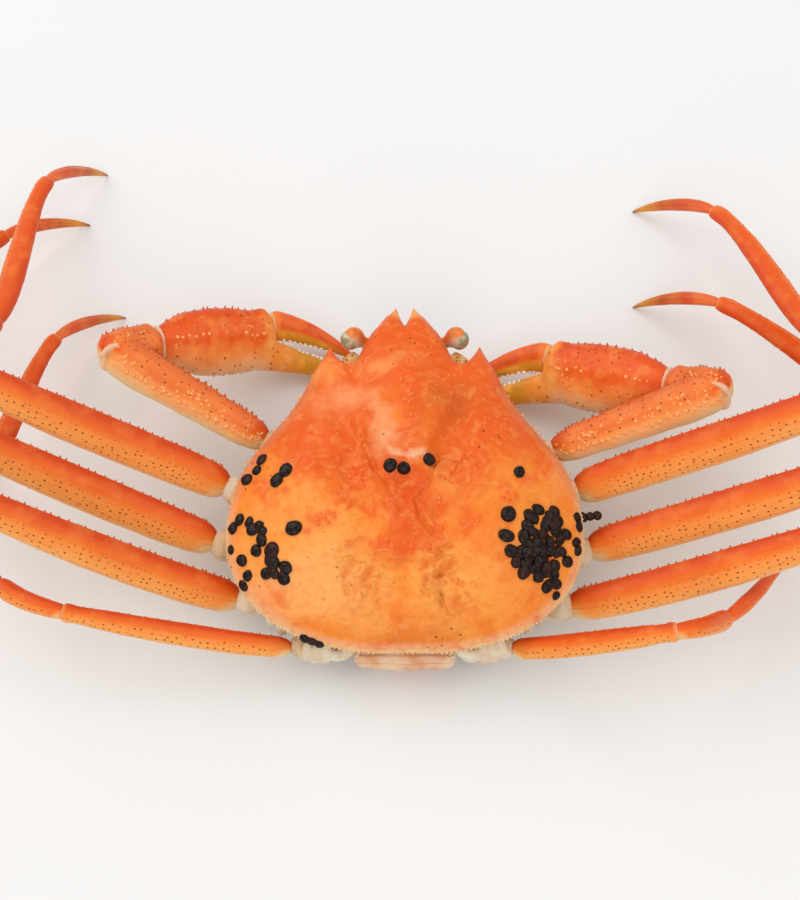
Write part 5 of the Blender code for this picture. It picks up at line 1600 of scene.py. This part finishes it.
@dataclass
class Head:
    """The stalked eyes and the feelers."""

    eye_root: Vector = field(default_factory=lambda: Vector((12.6, 74.6, 34.6)) * MM)
    eye_end: Vector = field(default_factory=lambda: Vector((18.4, 76.2, 37.4)) * MM)
    eye_radius: float = 3.9 * MM
    cornea_shift: Vector = field(default_factory=lambda: Vector((0.75, -0.9, -0.4)) * MM)
    feeler: tuple = (
        (8.2, 52, 25, 2.3), (8.2, 62, 27.6, 2.3), (8.6, 70, 29.4, 2), (9.6, 75.5, 31.2, 1.5),
        (10.2, 79, 32.8, 0.9), (9.2, 81.8, 33.9, 0.5), (7.4, 84.2, 34.7, 0.4), (5.8, 86, 35.2, 0.3))

    def build(self, paints: Paints) -> None:
        """Builds both sides."""
        for side in Side:
            self.build_eye(side, paints)
            self.build_orbit(side, paints)
            self.build_feeler(side, paints)

    def build_eye(self, side: Side, paints: Paints) -> None:
        """A stalk that swells round the eye, and the eye set in its lower side."""
        root, end = mirrored(self.eye_root, side), mirrored(self.eye_end, side)
        way = (end - root).normalized()
        tip = end + way * self.eye_radius * 0.9
        reach = (tip - root).length + 2 * MM
        axis = Axis(root - way * 2 * MM, tip, way, way, UP, 1.0)
        knob = []
        for t in (0, 0.2, 0.36, 0.46, 0.54, 0.62, 0.7, 0.78, 0.86, 0.93, 0.975, 1.0):
            from_end = (1 - t) * reach - self.eye_radius
            ball = math.sqrt(max(0.0, self.eye_radius**2 - from_end**2))
            stalk = (2.3 - 0.5 * t) * MM if t < 0.7 else 0.0
            size = max(ball, stalk, 0.35 * MM)
            knob.append((t, size / self.eye_radius, size / self.eye_radius))
        stalk = Tube(f"eye_stalk_{side.word}", axis, self.eye_radius, self.eye_radius, knob, side, sides=24,
                     steps=26, fullness=2.0, lumps=0.04 * MM)
        dress(stalk.build(), paints.eye_cap, Slot.EYE, f"eye_{side.word}")
        middle = end + mirrored(self.cornea_shift, side)
        gaze = mirrored(Vector((0.85, -0.4, 0.1)).normalized(), side)
        half = self.eye_radius * 0.94
        egg = [((1 - math.cos(a)) / 2, max(0.06, math.sin(a) * (1.03 - 0.10 * math.cos(a))),
                max(0.06, math.sin(a))) for a in (math.pi * k / 14 for k in range(15))]
        eye_axis = Axis(middle - gaze * half, middle + gaze * half, gaze, gaze, UP, 1.0)
        ball = Tube(f"cornea_{side.word}", eye_axis, half * 0.94, half * 0.92, egg, side, sides=28, steps=22,
                    fullness=2.0, lumps=0.03 * MM)
        dress(ball.build(), paints.cornea, Slot.EYE)

    def build_orbit(self, side: Side, paints: Paints) -> None:
        """The dotted skin on the floor of an eye's notch."""
        line = side_line(((22.5, 59, 30.4), (21.6, 63.5, 32.4), (19.6, 68, 33.4), (17.0, 71.5, 33.8)), side)
        profile = ((0, 0.7, 0.7), (0.3, 1, 1), (0.7, 0.9, 0.9), (1, 0.4, 0.4))
        floor = Tube(f"orbit_floor_{side.word}", Path(line, UP), 3.4 * MM, 0.9 * MM, profile, side, sides=20,
                     steps=12, fullness=2.0, lumps=0.2 * MM)
        dress(floor.build(), paints.orbit, Slot.PALE)

    def build_feeler(self, side: Side, paints: Paints) -> None:
        """A feeler along the rostrum, jointed at its root."""
        knots = np.linspace(0, 1, len(self.feeler))
        profile = [(k, p[3] / 2.3, p[3] / 2.3) for k, p in zip(knots, self.feeler)]
        feeler = Tube(f"feeler_{side.word}", Path(side_line(self.feeler, side), UP), 2.25 * MM, 2.25 * MM,
                      profile, side, sides=14, steps=30, fullness=2.0, lumps=0.06 * MM)
        dress(feeler.build(), paints.joint, Slot.PALE, f"antenna_{side.word}")


# ---- the limbs ----

COXA = (
    (0, 0.5, 0.5), (0.10, 0.80, 0.86), (0.28, 0.98, 1.0), (0.5, 0.98, 0.98), (0.66, 0.86, 0.88),
    (0.85, 0.80, 0.84), (1, 0.52, 0.58))
MERUS = (
    (0, 0.18, 0.22), (0.012, 0.44, 0.50), (0.03, 0.65, 0.72), (0.055, 0.80, 0.86), (0.085, 0.89, 0.93),
    (0.15, 0.95, 0.97), (0.32, 1.0, 1.0), (0.56, 0.98, 0.98), (0.78, 0.86, 0.92), (0.93, 0.76, 0.86),
    (0.97, 0.82, 0.92), (1, 0.72, 0.84))
CARPUS = (
    (0, 0.78, 0.8), (0.14, 0.86, 0.88), (0.45, 0.94, 0.94), (0.78, 1.0, 1.0), (0.93, 0.96, 0.96),
    (1, 0.84, 0.84))
PROPODUS = (
    (0, 0.7, 0.78), (0.07, 0.82, 0.88), (0.3, 1.0, 1.0), (0.6, 0.88, 0.9), (0.85, 0.70, 0.78),
    (0.96, 0.70, 0.8), (1, 0.6, 0.7))
DACTYL = (
    (0, 0.72, 0.72), (0.1, 0.86, 0.9), (0.32, 1.0, 1.0), (0.55, 0.86, 0.9), (0.74, 0.64, 0.72),
    (0.88, 0.4, 0.5), (0.96, 0.22, 0.3), (1, 0.12, 0.16))
CLAW_MERUS = (
    (0, 0.34, 0.38), (0.02, 0.50, 0.56), (0.05, 0.64, 0.70), (0.12, 0.77, 0.85), (0.35, 0.9, 0.95),
    (0.65, 1.0, 1.0), (0.88, 1.06, 1.04), (1, 0.92, 0.96))
CLAW_CARPUS = (
    (0, 0.34, 0.34), (0.05, 0.60, 0.60), (0.14, 0.82, 0.82), (0.3, 0.97, 0.97), (0.5, 1.0, 1.0),
    (0.75, 0.94, 0.94), (0.92, 0.80, 0.82), (1, 0.66, 0.7))
HAND = (
    (0, 0.50, 0.62), (0.08, 0.64, 0.76), (0.25, 0.88, 0.94), (0.45, 1.0, 1.0), (0.7, 0.97, 0.96),
    (0.86, 0.88, 0.90), (0.95, 0.80, 0.84), (1, 0.66, 0.72))
FINGER = (
    (0, 1.20, 1.2), (0.06, 1.36, 1.3), (0.18, 1.28, 1.14), (0.38, 1.10, 0.92), (0.6, 0.82, 0.72),
    (0.82, 0.48, 0.52), (0.95, 0.27, 0.31), (1, 0.12, 0.14))
FIXED_FINGER = (
    (0, 1.5, 1.7), (0.14, 1.5, 1.6), (0.26, 1.38, 1.30), (0.40, 1.15, 1.0), (0.6, 0.88, 0.78),
    (0.82, 0.52, 0.56), (0.95, 0.30, 0.34), (1, 0.14, 0.16))
PAD = ((0, 0.5, 0.5), (0.2, 0.85, 0.85), (0.5, 1, 1), (0.8, 0.85, 0.85), (1, 0.4, 0.4))
JOINT_SKIN = ((0, 0.94, 0.94), (0.3, 0.98, 0.98), (0.5, 1.0, 1.0), (0.7, 0.98, 0.98), (1, 0.94, 0.94))
LIMB_FACE = Vector((0.0, -0.30, 0.95)).normalized()


def heading(yaw: float, rise: float) -> Vector:
    """The direction at yaw degrees from +X and rise degrees over the level."""
    turn, tilt = math.radians(yaw), math.radians(rise)
    return Vector((math.cos(tilt) * math.cos(turn), math.cos(tilt) * math.sin(turn), math.sin(tilt)))


def blend(first: Vector, second: Vector, share: float) -> Vector:
    """The direction between two, share of the way to the second."""
    return (first * (1 - share) + second * share).normalized()


def sunk(axis: Axis, depth: float) -> Axis:
    """The same middle line, started deeper in what carries it."""
    return replace(axis, start=axis.start - axis.start_normal * depth)


def joint_skin(name: str, inner: Tube, outer: Tube) -> Object:
    """The pale skin across a joint, tucked into both segments.

    Args:
        name: The piece's name.
        inner: The segment before the joint.
        outer: The segment after it.

    Returns:
        The piece.
    """
    tuck = 1.6 * MM
    start = inner.course.end - inner.course.end_normal * tuck
    end = outer.course.start + outer.course.start_normal * tuck
    (_, a, b), (_, c, d) = inner.profile[-1], outer.profile[0]
    width = min(inner.half_width * a, outer.half_width * c) * 0.93
    thickness = min(inner.half_thickness * b, outer.half_thickness * d) * 0.93
    axis = Axis(start, end, inner.course.end_normal, outer.course.start_normal, inner.course.face, 0.9)
    skin = Tube(name, axis, width, thickness, JOINT_SKIN, inner.side, sides=18, steps=6, lumps=0.12 * MM)
    return skin.build()


def spine_row(spines: Scatter, tube: Tube, share: float, count: int, size: float, first: float = 0.06,
              last: float = 0.96) -> None:
    """Sets a row of spines along a segment, uneven in place and size.

    Args:
        spines: The scatter that they go to.
        tube: The segment.
        share: How far round the row is.
        count: How many there are.
        size: The length of the longest.
        first: Where the row starts.
        last: Where it ends.
    """
    for i in range(count):
        place = first + (last - first) * (i + spines.draw.uniform(0.2, 0.8)) / count
        point, out, along = tube.skin(place, share + spines.draw.uniform(-0.012, 0.012))
        spines.set(point, (out + along * 0.3).normalized(), size * spines.draw.uniform(0.55, 1.0))


@dataclass(frozen=True)
class LegSizes:
    """Lengths of a walking leg's segments and their widest half widths, in millimetres."""

    merus: float
    carpus: float
    propodus: float
    dactyl: float
    half_widths: tuple


@dataclass(frozen=True)
class LegPose:
    """Where a leg leaves the body, and how its segments run: headings from +X and rises in degrees."""

    root: tuple
    base: tuple
    merus: tuple
    carpus: tuple
    propodus: tuple
    dactyl_heading: float
    merus_share: float = 1.0


LEG_SIZES = {
    1: LegSizes(108, 42, 76, 38, (6.4, 6.9, 4.6, 4.4, 2.5)),
    2: LegSizes(114, 44, 78, 38, (6.4, 6.8, 4.6, 4.3, 2.5)),
    3: LegSizes(104, 40, 66, 36, (6.2, 6.3, 4.2, 3.9, 2.3)),
    4: LegSizes(76, 25, 41, 29, (4.9, 3.9, 3.3, 2.6, 1.8)),
}
LEG_POSES = {
    (1, Side.LEFT): LegPose((-43, 18, 15), (-63.5, 27, 20), (166, 32.5), (71, -46), (84.6, -15.8), 54),
    (2, Side.LEFT): LegPose((-46, 3, 13.5), (-66.9, 7, 18), (164.5, 28.3), (124, -43), (65.8, -15.7), 34.5),
    (3, Side.LEFT): LegPose((-41, -11.5, 12.5), (-58, -13.3, 17), (168.6, 33.9), (87, -62), (76.5, -15.5),
                            46.6),
    (4, Side.LEFT): LegPose((-24, -26.5, 12.5), (-38.5, -30, 15), (175.6, 16.7), (155, -9), (117, -22), 95),
    (1, Side.RIGHT): LegPose((42, 17.5, 15), (61.2, 25.3, 20), (10, 31.2), (109.3, -41.7), (110, -19), 150.5),
    (2, Side.RIGHT): LegPose((45, 1.5, 13.5), (64.8, 4.4, 18), (8.5, 28.3), (77, -56), (134.9, -8.5), 156.7),
    (3, Side.RIGHT): LegPose((40, -12.5, 12.5), (57.3, -16, 17), (8.5, 26), (36, -22), (63, -25), 88),
    (4, Side.RIGHT): LegPose((23, -26, 12.5), (36.5, -30.6, 16), (-8.2, 41.6), (24.6, -34.4), (45.6, -32.7),
                             70, 0.833),
}


@dataclass
class WalkingLeg:
    """A walking leg of five segments with its spines and joint skins."""

    number: int
    side: Side
    flat_share: float = 0.60
    round_share: float = 0.80
    tip_height: float = -0.1 * MM
    joint_turns: tuple = (0.5, 0.30, 0.45, 0.45)
    curl: float = 14.0
    dip: float = 12.0
    coxa_sink: float = 6 * MM
    merus_sink: float = 2.4 * MM
    # Rows of spines: segment, how far round, how many on a long and on a short leg, and size over the longest.
    spine_rows: tuple = (
        ("merus", 0.255, 36, 18, 1.0), ("merus", 0.29, 20, 8, 0.7), ("merus", 0.80, 12, 6, 0.6),
        ("carpus", 0.27, 10, 4, 0.9), ("carpus", 0.36, 8, 3, 0.7), ("propodus", 0.27, 22, 6, 0.6),
        ("propodus", 0.72, 12, 4, 0.5))

    @property
    def name(self) -> str:
        """The leg's name in the names of its nodes."""
        return f"leg{self.number}_{self.side.word}"

    def tubes(self) -> list[Tube]:
        """Lays out the five segments from the coxa to the tip."""
        size, pose = LEG_SIZES[self.number], LEG_POSES[self.number, self.side]
        root, base = Vector(pose.root) * MM, Vector(pose.base) * MM
        ways = [(base - root).normalized(),
                *(heading(*way) for way in (pose.merus, pose.carpus, pose.propodus))]
        knee = base + ways[1] * size.merus * MM * pose.merus_share
        ankle = knee + ways[2] * size.carpus * MM
        toe = ankle + ways[3] * size.propodus * MM
        rise = -math.degrees(math.asin((toe.z - self.tip_height) / (size.dactyl * MM)))
        ways.append(heading(pose.dactyl_heading, rise))
        tip = toe + ways[4] * size.dactyl * MM
        joints = [blend(a, b, turn) for a, b, turn in zip(ways, ways[1:], self.joint_turns)]
        curl = self.curl if ways[4].x > 0 else -self.curl
        arrive = heading(pose.dactyl_heading - curl, rise - self.dip)
        half = [width * MM for width in size.half_widths]
        plan = (("coxa", root, base, ways[0], joints[0], self.round_share, COXA, 0.9),
                ("merus", base, knee, joints[0], joints[1], self.flat_share, MERUS, 0.6),
                ("carpus", knee, ankle, joints[1], joints[2], self.round_share, CARPUS, 0.95),
                ("propodus", ankle, toe, joints[2], joints[3], self.flat_share, PROPODUS, 0.7),
                ("dactyl", toe, tip, joints[3], arrive, self.flat_share, DACTYL, 0.9))
        made = []
        for (word, start, end, leave, reach, share, profile, bend), width in zip(plan, half):
            axis = Axis(start, end, leave, reach, LIMB_FACE, bend)
            made.append(Tube(f"{self.name}_{word}_shell", axis, width, width * share, profile, self.side))
        return made

    def build(self, paints: Paints) -> None:
        """Builds and dresses the leg."""
        coxa, merus, carpus, propodus, dactyl = self.tubes()
        short = self.number == 4
        coxa.course = sunk(coxa.course, self.coxa_sink)
        merus.course = sunk(merus.course, self.merus_sink * (0.3 if short else 1.0))
        coxa.lumps, coxa.relief = 0.45 * MM, self.coxa_ribs
        dactyl.relief, merus.steps, propodus.steps = self.dactyl_ridges, 54, 32
        for tube, paint, slot in ((coxa, paints.pale, Slot.PALE), (merus, paints.merus, Slot.SHELL),
                                  (carpus, paints.joint, Slot.SHELL), (propodus, paints.shank, Slot.RED),
                                  (dactyl, paints.dactyl, Slot.TIP)):
            dress_tube(tube, paint, slot)
        spines = Scatter(SPINE, 100 + self.number * 2 + self.side.value)
        longest = (0.45 if short else 0.82) * MM
        tubes = {"merus": merus, "carpus": carpus, "propodus": propodus}
        for word, share, many, few, size in self.spine_rows:
            spine_row(spines, tubes[word], share, few if short else many, size * longest)
        dress(spines.join(f"{self.name}_spines"), paints.spine, Slot.SHELL)
        skins = [joint_skin(f"{self.name}_skin_{i}", a, b)
                 for i, (a, b) in enumerate(pairwise((merus, carpus, propodus, dactyl)))]
        dress(Bench.join(f"{self.name}_joint_skins", skins), paints.skin, Slot.PALE)

    @staticmethod
    def coxa_ribs(t: Array, share: Array) -> Array:
        """Folds round a coxa, and the two swollen rings of its joints."""
        rings = bell(t - 0.86, 0.09) + 0.8 * bell(t - 0.52, 0.10)
        folds = np.minimum(0.35, np.cos(share * 2 * math.pi * 6 + 5 * np.sin(5 * t)))
        return MM * (0.5 * folds * np.sin(math.pi * np.clip(t * 1.1, 0, 1)) + 0.45 * rings - 0.15)

    @staticmethod
    def dactyl_ridges(t: Array, share: Array) -> Array:
        """Ridges along a leg's last segment, which fade at its tip."""
        return 0.14 * MM * np.cos(share * 2 * math.pi * 6) * np.sin(math.pi * np.clip(t * 1.05, 0, 1))


@dataclass(frozen=True)
class ClawPose:
    """The joints of a claw limb, and the side that its hand's broad face looks to."""

    root: tuple
    base: tuple
    elbow: tuple
    wrist: tuple
    knuckle: tuple
    tip: tuple
    face: tuple


CLAW_POSES = {
    Side.LEFT: ClawPose((-35, 35.5, 15.5), (-51, 44.4, 21), (-100.6, 66.6, 45), (-88, 75, 33.5),
                        (-49.5, 88.6, 13), (-19, 83.7, 3.4), (0.10, -0.46, 0.88)),
    Side.RIGHT: ClawPose((36, 34, 15.5), (54, 40.2, 21), (106, 51, 47), (92.5, 57.8, 34.5),
                         (52.5, 75.1, 13.5), (21.5, 72.2, 3.4), (-0.10, -0.46, 0.88)),
}


@dataclass
class ClawLimb:
    """A claw limb: its segments, its hand with both fingers, and what grows on them."""

    side: Side
    joint_turns: tuple = (0.5, 0.1, 0.5)
    coxa_half: tuple = (6.4, 5.6)
    merus_half: tuple = (7.2, 5.8)
    carpus_half: tuple = (7.6, 7.2)
    hand_half: tuple = (12.2, 7.2)
    finger_half: tuple = (4.1, 3.3)
    heel: float = 4.5 * MM
    knuckle_offset: float = 4.9 * MM
    finger_hook: float = 0.5
    tip_gap: float = 2.6 * MM
    finger_sink: float = 9 * MM
    coxa_sink: float = 9.5 * MM
    palm_grain: float = 0.33 * MM
    blend_reach: float = 9 * MM
    # Spines: how far round each row is, how many there are, and the longest in millimetres.
    merus_spines: tuple = (
        (0.25, 20, 1.2), (0.30, 16, 0.8), (0.36, 14, 0.6), (0.42, 12, 0.5), (0.18, 10, 0.7))
    carpus_spines: tuple = ((0.25, 8, 1.1), (0.33, 7, 0.8), (0.41, 6, 0.7), (0.18, 5, 0.6))
    hand_spines: tuple = (
        (0.25, 14, 1.0), (0.30, 12, 0.7), (0.36, 13, 0.6), (0.41, 10, 0.5), (0.77, 18, 0.6), (0.74, 10, 0.5))

    @property
    def name(self) -> str:
        """The limb's name in the names of its nodes."""
        return f"claw_{self.side.word}"

    def tube(self, word: str, course: Axis, half: tuple, profile: Profile, **settings: object) -> Tube:
        """A segment; those beyond the elbow run back towards the middle, so their sides are swapped."""
        side = self.side if word in ("coxa", "merus") else self.side.other
        return Tube(f"{self.name}_{word}_shell", course, half[0] * MM, half[1] * MM, profile, side, **settings)

    def build(self, paints: Paints) -> None:
        """Builds and dresses the limb."""
        pose = CLAW_POSES[self.side]
        places = [Vector(p) * MM for p in (pose.root, pose.base, pose.elbow, pose.wrist, pose.knuckle)]
        root, base, elbow, wrist, knuckle = places
        tip = Vector(pose.tip) * MM
        ways = [(b - a).normalized() for a, b in pairwise(places)]
        joints = [blend(a, b, turn) for a, b, turn in zip(ways, ways[1:], self.joint_turns)]
        face = Vector(pose.face).normalized()
        upper = ways[3].cross((face - ways[3] * face.dot(ways[3])).normalized())
        upper = upper if upper.y > 0 else -upper

        coxa = self.tube("coxa", sunk(Axis(root, base, ways[0], joints[0], LIMB_FACE, 0.9), self.coxa_sink),
                         self.coxa_half, COXA, lumps=0.45 * MM, relief=WalkingLeg.coxa_ribs)
        merus_axis = sunk(Axis(base, elbow, joints[0], joints[1], LIMB_FACE, 0.7), WalkingLeg.merus_sink)
        merus = self.tube("merus", merus_axis, self.merus_half, CLAW_MERUS, sides=36, steps=40,
                          lumps=0.30 * MM)
        carpus_axis = Axis(elbow - ways[2] * self.heel, wrist, ways[2], joints[2], LIMB_FACE, 0.8)
        carpus = self.tube("carpus", carpus_axis, self.carpus_half, CLAW_CARPUS, sides=36, steps=26,
                           lumps=0.5 * MM, relief=self.carpus_crests)
        hand = self.tube("hand", Axis(wrist, knuckle, joints[2], ways[3], face, 0.8), self.hand_half, HAND,
                         sides=48, steps=44, lumps=0.34 * MM, relief=self.hand_relief)
        fixed = self.finger("fixed_finger", knuckle - upper * self.knuckle_offset - ways[3] * self.finger_sink,
                            tip - upper * self.tip_gap / 2, ways[3], -upper, face, FIXED_FINGER)
        moving = self.finger("finger", knuckle + upper * self.knuckle_offset, tip + upper * self.tip_gap / 2,
                             ways[3], upper, face)
        for tube, paint, slot in ((coxa, paints.pale, Slot.PALE), (merus, paints.claw, Slot.SHELL),
                                  (carpus, paints.wrist, Slot.SHELL), (moving, paints.finger, Slot.RED)):
            dress_tube(tube, paint, slot)
        dress(self.palm(hand, fixed, tip), paints.hand, Slot.SHELL, f"{self.name}_hand")
        self.grow(merus, carpus, hand, paints)
        self.set_teeth(fixed, moving, paints)
        self.join_elbow(elbow, hand, paints)
        skins = [joint_skin(f"{self.name}_wrist_skin", carpus, hand), self.knuckle_skin(moving)]
        dress(Bench.join(f"{self.name}_joint_skins", skins), paints.skin, Slot.PALE)

    def knuckle_skin(self, moving: Tube) -> Object:
        """The swollen skin round the moving finger's hinge."""
        start, way = moving.course.start, moving.course.start_normal
        axis = Axis(start - way * 2.2 * MM, start + way * 2.0 * MM, way, way, moving.course.face, 0.9)
        return Tube(f"{self.name}_knuckle_skin", axis, moving.half_width * 1.22, moving.half_thickness * 1.22,
                    PAD, moving.side, sides=28, steps=8, lumps=0.2 * MM).build()

    def palm(self, hand: Tube, fixed: Tube, tip: Vector) -> Object:
        """The hand and its fixed finger as one shell, blended where they meet.

        Args:
            hand: The hand's tube.
            fixed: The fixed finger's tube.
            tip: Where the fingers' tips meet.

        Returns:
            The shell, with its maps measured from the wrist to the tips.
        """
        whole = Bench.join(f"{self.name}_hand_shell", [hand.build(), fixed.build()])
        Bench.apply(whole, "REMESH", mode="VOXEL", voxel_size=self.palm_grain)
        wrist, way = hand.course.start, (hand.course.end - hand.course.start).normalized()
        reach = hand.course.length
        t = (Bench.points(whole) - np.array(wrist)) @ np.array(way)
        Bench.soften(whole, 0.06 + 0.94 * np.maximum(0.0, 1 - np.abs(t - reach) / self.blend_reach), 80)
        points = Bench.points(whole)
        t = (points - np.array(wrist)) @ np.array(way)
        centre, _, across, out = hand.course.frames(np.clip(t / reach, 0, 1))
        away = points - centre - np.maximum(0, t - reach)[:, None] * np.array(way)
        x, y = (away * across).sum(axis=1) / hand.half_width, (away * out).sum(axis=1) / hand.half_thickness
        total = reach + (tip - hand.course.end).length
        write_map(whole, "share", np.clip(t / total, 0, 1), hand.round_share(np.arctan2(y, x)), 1.0)
        Bench.face_out(whole)
        return Bench.shade(whole)

    @staticmethod
    def carpus_crests(t: Array, share: Array) -> Array:
        """Crests along the carpus, and the swelling behind its joint with the hand."""
        crests = 0.4 * np.cos(share * 2 * math.pi * 5 + 2.5 * t) * np.sin(math.pi * t)
        return MM * (crests + 0.7 * bell(t - 0.82, 0.09))

    @staticmethod
    def hand_relief(t: Array, share: Array) -> Array:
        """A low ridge along the hand's middle, and the knuckle's lump over the moving finger."""
        bumps = 1 + 0.55 * np.cos(2 * math.pi * 11 * t)
        ridge = 0.45 * bumps * bell(share - 0.47, 0.035) * np.sin(math.pi * t)
        return MM * (ridge + 1.5 * bell(t - 0.90, 0.06) * bell(share - 0.30, 0.07))

    def finger(self, word: str, start: Vector, end: Vector, way: Vector, bow: Vector, face: Vector,
               profile: Profile = FINGER) -> Tube:
        """A finger that bows out and closes on the other at its tip.

        Args:
            word: Its name within the limb.
            start: The middle of its root.
            end: Its tip.
            way: The way that it leaves the hand.
            bow: The way that it bows out.
            face: The side that the hand's broad face looks to.
            profile: How it tapers.

        Returns:
            The finger's tube.
        """
        arrive = ((end - start).normalized() - bow * self.finger_hook).normalized()
        return self.tube(word, Axis(start, end, way, arrive, face, 0.8), self.finger_half, profile, sides=24,
                         steps=30, lumps=0.12 * MM)

    def grow(self, merus: Tube, carpus: Tube, hand: Tube, paints: Paints) -> None:
        """Sets the spines and warts of the limb."""
        spines = Scatter(SPINE, 200 + self.side.value)
        for tube, rows in ((merus, self.merus_spines), (carpus, self.carpus_spines), (hand, self.hand_spines)):
            for share, count, size in rows:
                spine_row(spines, tube, share, count, size * MM, 0.08, 0.92)
        dress(spines.join(f"{self.name}_spines"), paints.spine, Slot.SHELL)
        warts = Scatter(WART, 210 + self.side.value)
        draw = warts.draw
        for i in range(14):
            warts.stud(hand, 0.12 + 0.78 * (i + 0.6 * draw.random()) / 14, 0.47 + draw.uniform(-0.01, 0.01),
                       0.15 * MM, draw.uniform(0.45, 0.85) * MM, 0.8)
        for _ in range(60):
            warts.stud(hand, draw.uniform(0.70, 0.93), draw.uniform(0.42, 0.58), -0.05 * MM,
                       draw.uniform(0.2, 0.42) * MM, 0.8)
        for i in range(19):
            warts.stud(merus, 0.10 + 0.84 * (i + 0.5 * draw.random()) / 19,
                       0.575 + draw.uniform(-0.012, 0.012),
                       -0.1 * MM, draw.uniform(0.75, 1.1) * MM, 0.6, 1.15)
        for tube, low, high, count, size in ((merus, 0.45, 0.62, 110, 0.72), (hand, 0.42, 0.54, 36, 0.55),
                                             (hand, 0.70, 0.76, 40, 0.4), (carpus, 0.38, 0.62, 44, 0.72)):
            for _ in range(count):
                warts.stud(tube, draw.uniform(0.06, 0.95), draw.uniform(low, high), -0.16 * MM,
                           size * draw.uniform(0.5, 1.0) * MM, 0.6, draw.uniform(0.85, 1.2))
        dress(warts.join(f"{self.name}_warts"), paints.cream_wart, Slot.SHELL)

    def set_teeth(self, fixed: Tube, moving: Tube, paints: Paints) -> None:
        """Sets the blunt white teeth along the fingers' inner edges, towards the hand's broad face."""
        teeth = Scatter(TOOTH, 220 + self.side.value)
        for tube, share, first in ((fixed, 0.30, 0.44), (moving, 0.70, 0.20)):
            for i in range(13):
                place = first + (0.93 - first) * (i + teeth.draw.uniform(-0.25, 0.25)) / 12
                around = share + teeth.draw.uniform(-0.012, 0.012)
                size = teeth.draw.uniform(0.8, 1.3) * (1.9 - 1.2 * place) * MM
                teeth.stud(tube, place, around, -0.3 * size, size, 0.9, teeth.draw.uniform(0.85, 1.2))
        dress(teeth.join(f"{self.name}_teeth"), paints.tooth, Slot.PALE)

    def join_elbow(self, elbow: Vector, hand: Tube, paints: Paints) -> None:
        """Adds the bare skin at the elbow's outer side and the collar of skin at the wrist.

        Args:
            elbow: The joint between merus and carpus.
            hand: The hand's tube.
            paints: The finishes.
        """
        line = side_line(((3.2, -4.6, 3.6), (0.4, -1.6, 4.8), (-3.4, 0.6, 4.2)), self.side, elbow)
        pad = Tube(f"{self.name}_elbow_pad", Path(line, Vector((0, -0.3, 1)).normalized()), 1.15 * MM,
                   1.4 * MM,
                   PAD, self.side, sides=20, steps=10, fullness=2.0, lumps=0.3 * MM)
        line = side_line(((0.6, -5.6, -2.0), (2.4, -3.6, -2.4), (2.8, -0.4, -1.6)), self.side, elbow)
        corner = Tube(f"{self.name}_elbow_corner", Path(line, UP), 2.4 * MM, 2.2 * MM, PAD, self.side,
                      sides=20,
                      steps=10, fullness=2.0, lumps=0.3 * MM)
        start, way = hand.course.start, hand.course.start_normal
        axis = Axis(start - way * 1.5 * MM, start + way * 1.7 * MM, way, way, hand.course.face, 0.9)
        collar = Tube(f"{self.name}_wrist_collar", axis, hand.half_width * 0.60, hand.half_thickness * 0.74,
                      PAD, hand.side, sides=24, steps=6, lumps=0.25 * MM)
        skins = [tube.build() for tube in (pad, corner, collar)]
        dress(Bench.join(f"{self.name}_bare_skin", skins), paints.bare, Slot.PALE)


# ---- the studio ----


@dataclass
class Studio:
    """A pale floor, soft light, and the camera at the photograph's angle."""

    floor_size: float = 6.0
    lens: float = 56.0
    camera_place: tuple = (-0.0017, -0.1609, 0.4721)
    camera_tilt: float = 24.0
    # Lights: name, place, size, power and tone.
    lights: tuple = (
        ("key_light", (-2.0, 1.5, 2.6), 3.4, 58.0, (1.0, 0.985, 0.965)),
        ("fill_light", (2.2, 0.3, 2.8), 2.8, 24.0, (1.0, 0.99, 0.98)),
        ("rear_light", (-0.2, -2.8, 2.2), 2.6, 30.0, (1.0, 0.99, 0.98)))

    @staticmethod
    def place(data: bpy.types.ID, where: tuple, turn: tuple) -> Object:
        """Puts a light or a camera into the scene."""
        thing = bpy.data.objects.new(data.name, data)
        thing.location, thing.rotation_euler = where, turn
        bpy.context.scene.collection.objects.link(thing)
        return thing

    def build(self, paints: Paints) -> None:
        """Builds the floor, the lights, the surroundings and the camera."""
        Bench.clear()
        bpy.ops.mesh.primitive_plane_add(size=self.floor_size, location=(0, 0, 0))
        floor = bpy.context.object
        floor.name = "floor"
        floor.data.materials.append(paints.floor)
        for name, place, size, power, tone in self.lights:
            data = bpy.data.lights.new(name, "AREA")
            data.size, data.energy, data.color = size, power, tone
            aim = Vector((0, 0.03, 0.02)) - Vector(place)
            self.place(data, place, aim.to_track_quat("-Z", "Y").to_euler())
        scene = bpy.context.scene
        scene.world = scene.world or bpy.data.worlds.new("studio")
        scene.world.use_nodes = True
        background = scene.world.node_tree.nodes["Background"]
        background.inputs["Color"].default_value = (0.99, 0.99, 1.0, 1)
        background.inputs["Strength"].default_value = 0.68
        scene.view_settings.view_transform = "Standard"
        data = bpy.data.cameras.new("camera")
        data.lens, data.sensor_width = self.lens, 36.0
        data.clip_start, data.clip_end = 0.01, 20.0
        scene.camera = self.place(data, self.camera_place, (math.radians(self.camera_tilt), 0, 0))


def main() -> None:
    """Builds the crab and its studio."""
    logging.basicConfig(level=logging.INFO, format="%(name)s %(message)s")
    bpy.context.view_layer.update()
    paints = Paints()
    Studio().build(paints)
    shell = Carapace()
    shell.build(paints)
    Underside().build(shell, paints)
    Head().build(paints)
    for number, side in LEG_POSES:
        WalkingLeg(number, side).build(paints)
    for side in Side:
        ClawLimb(side).build(paints)


if __name__ == "__main__":
    main()
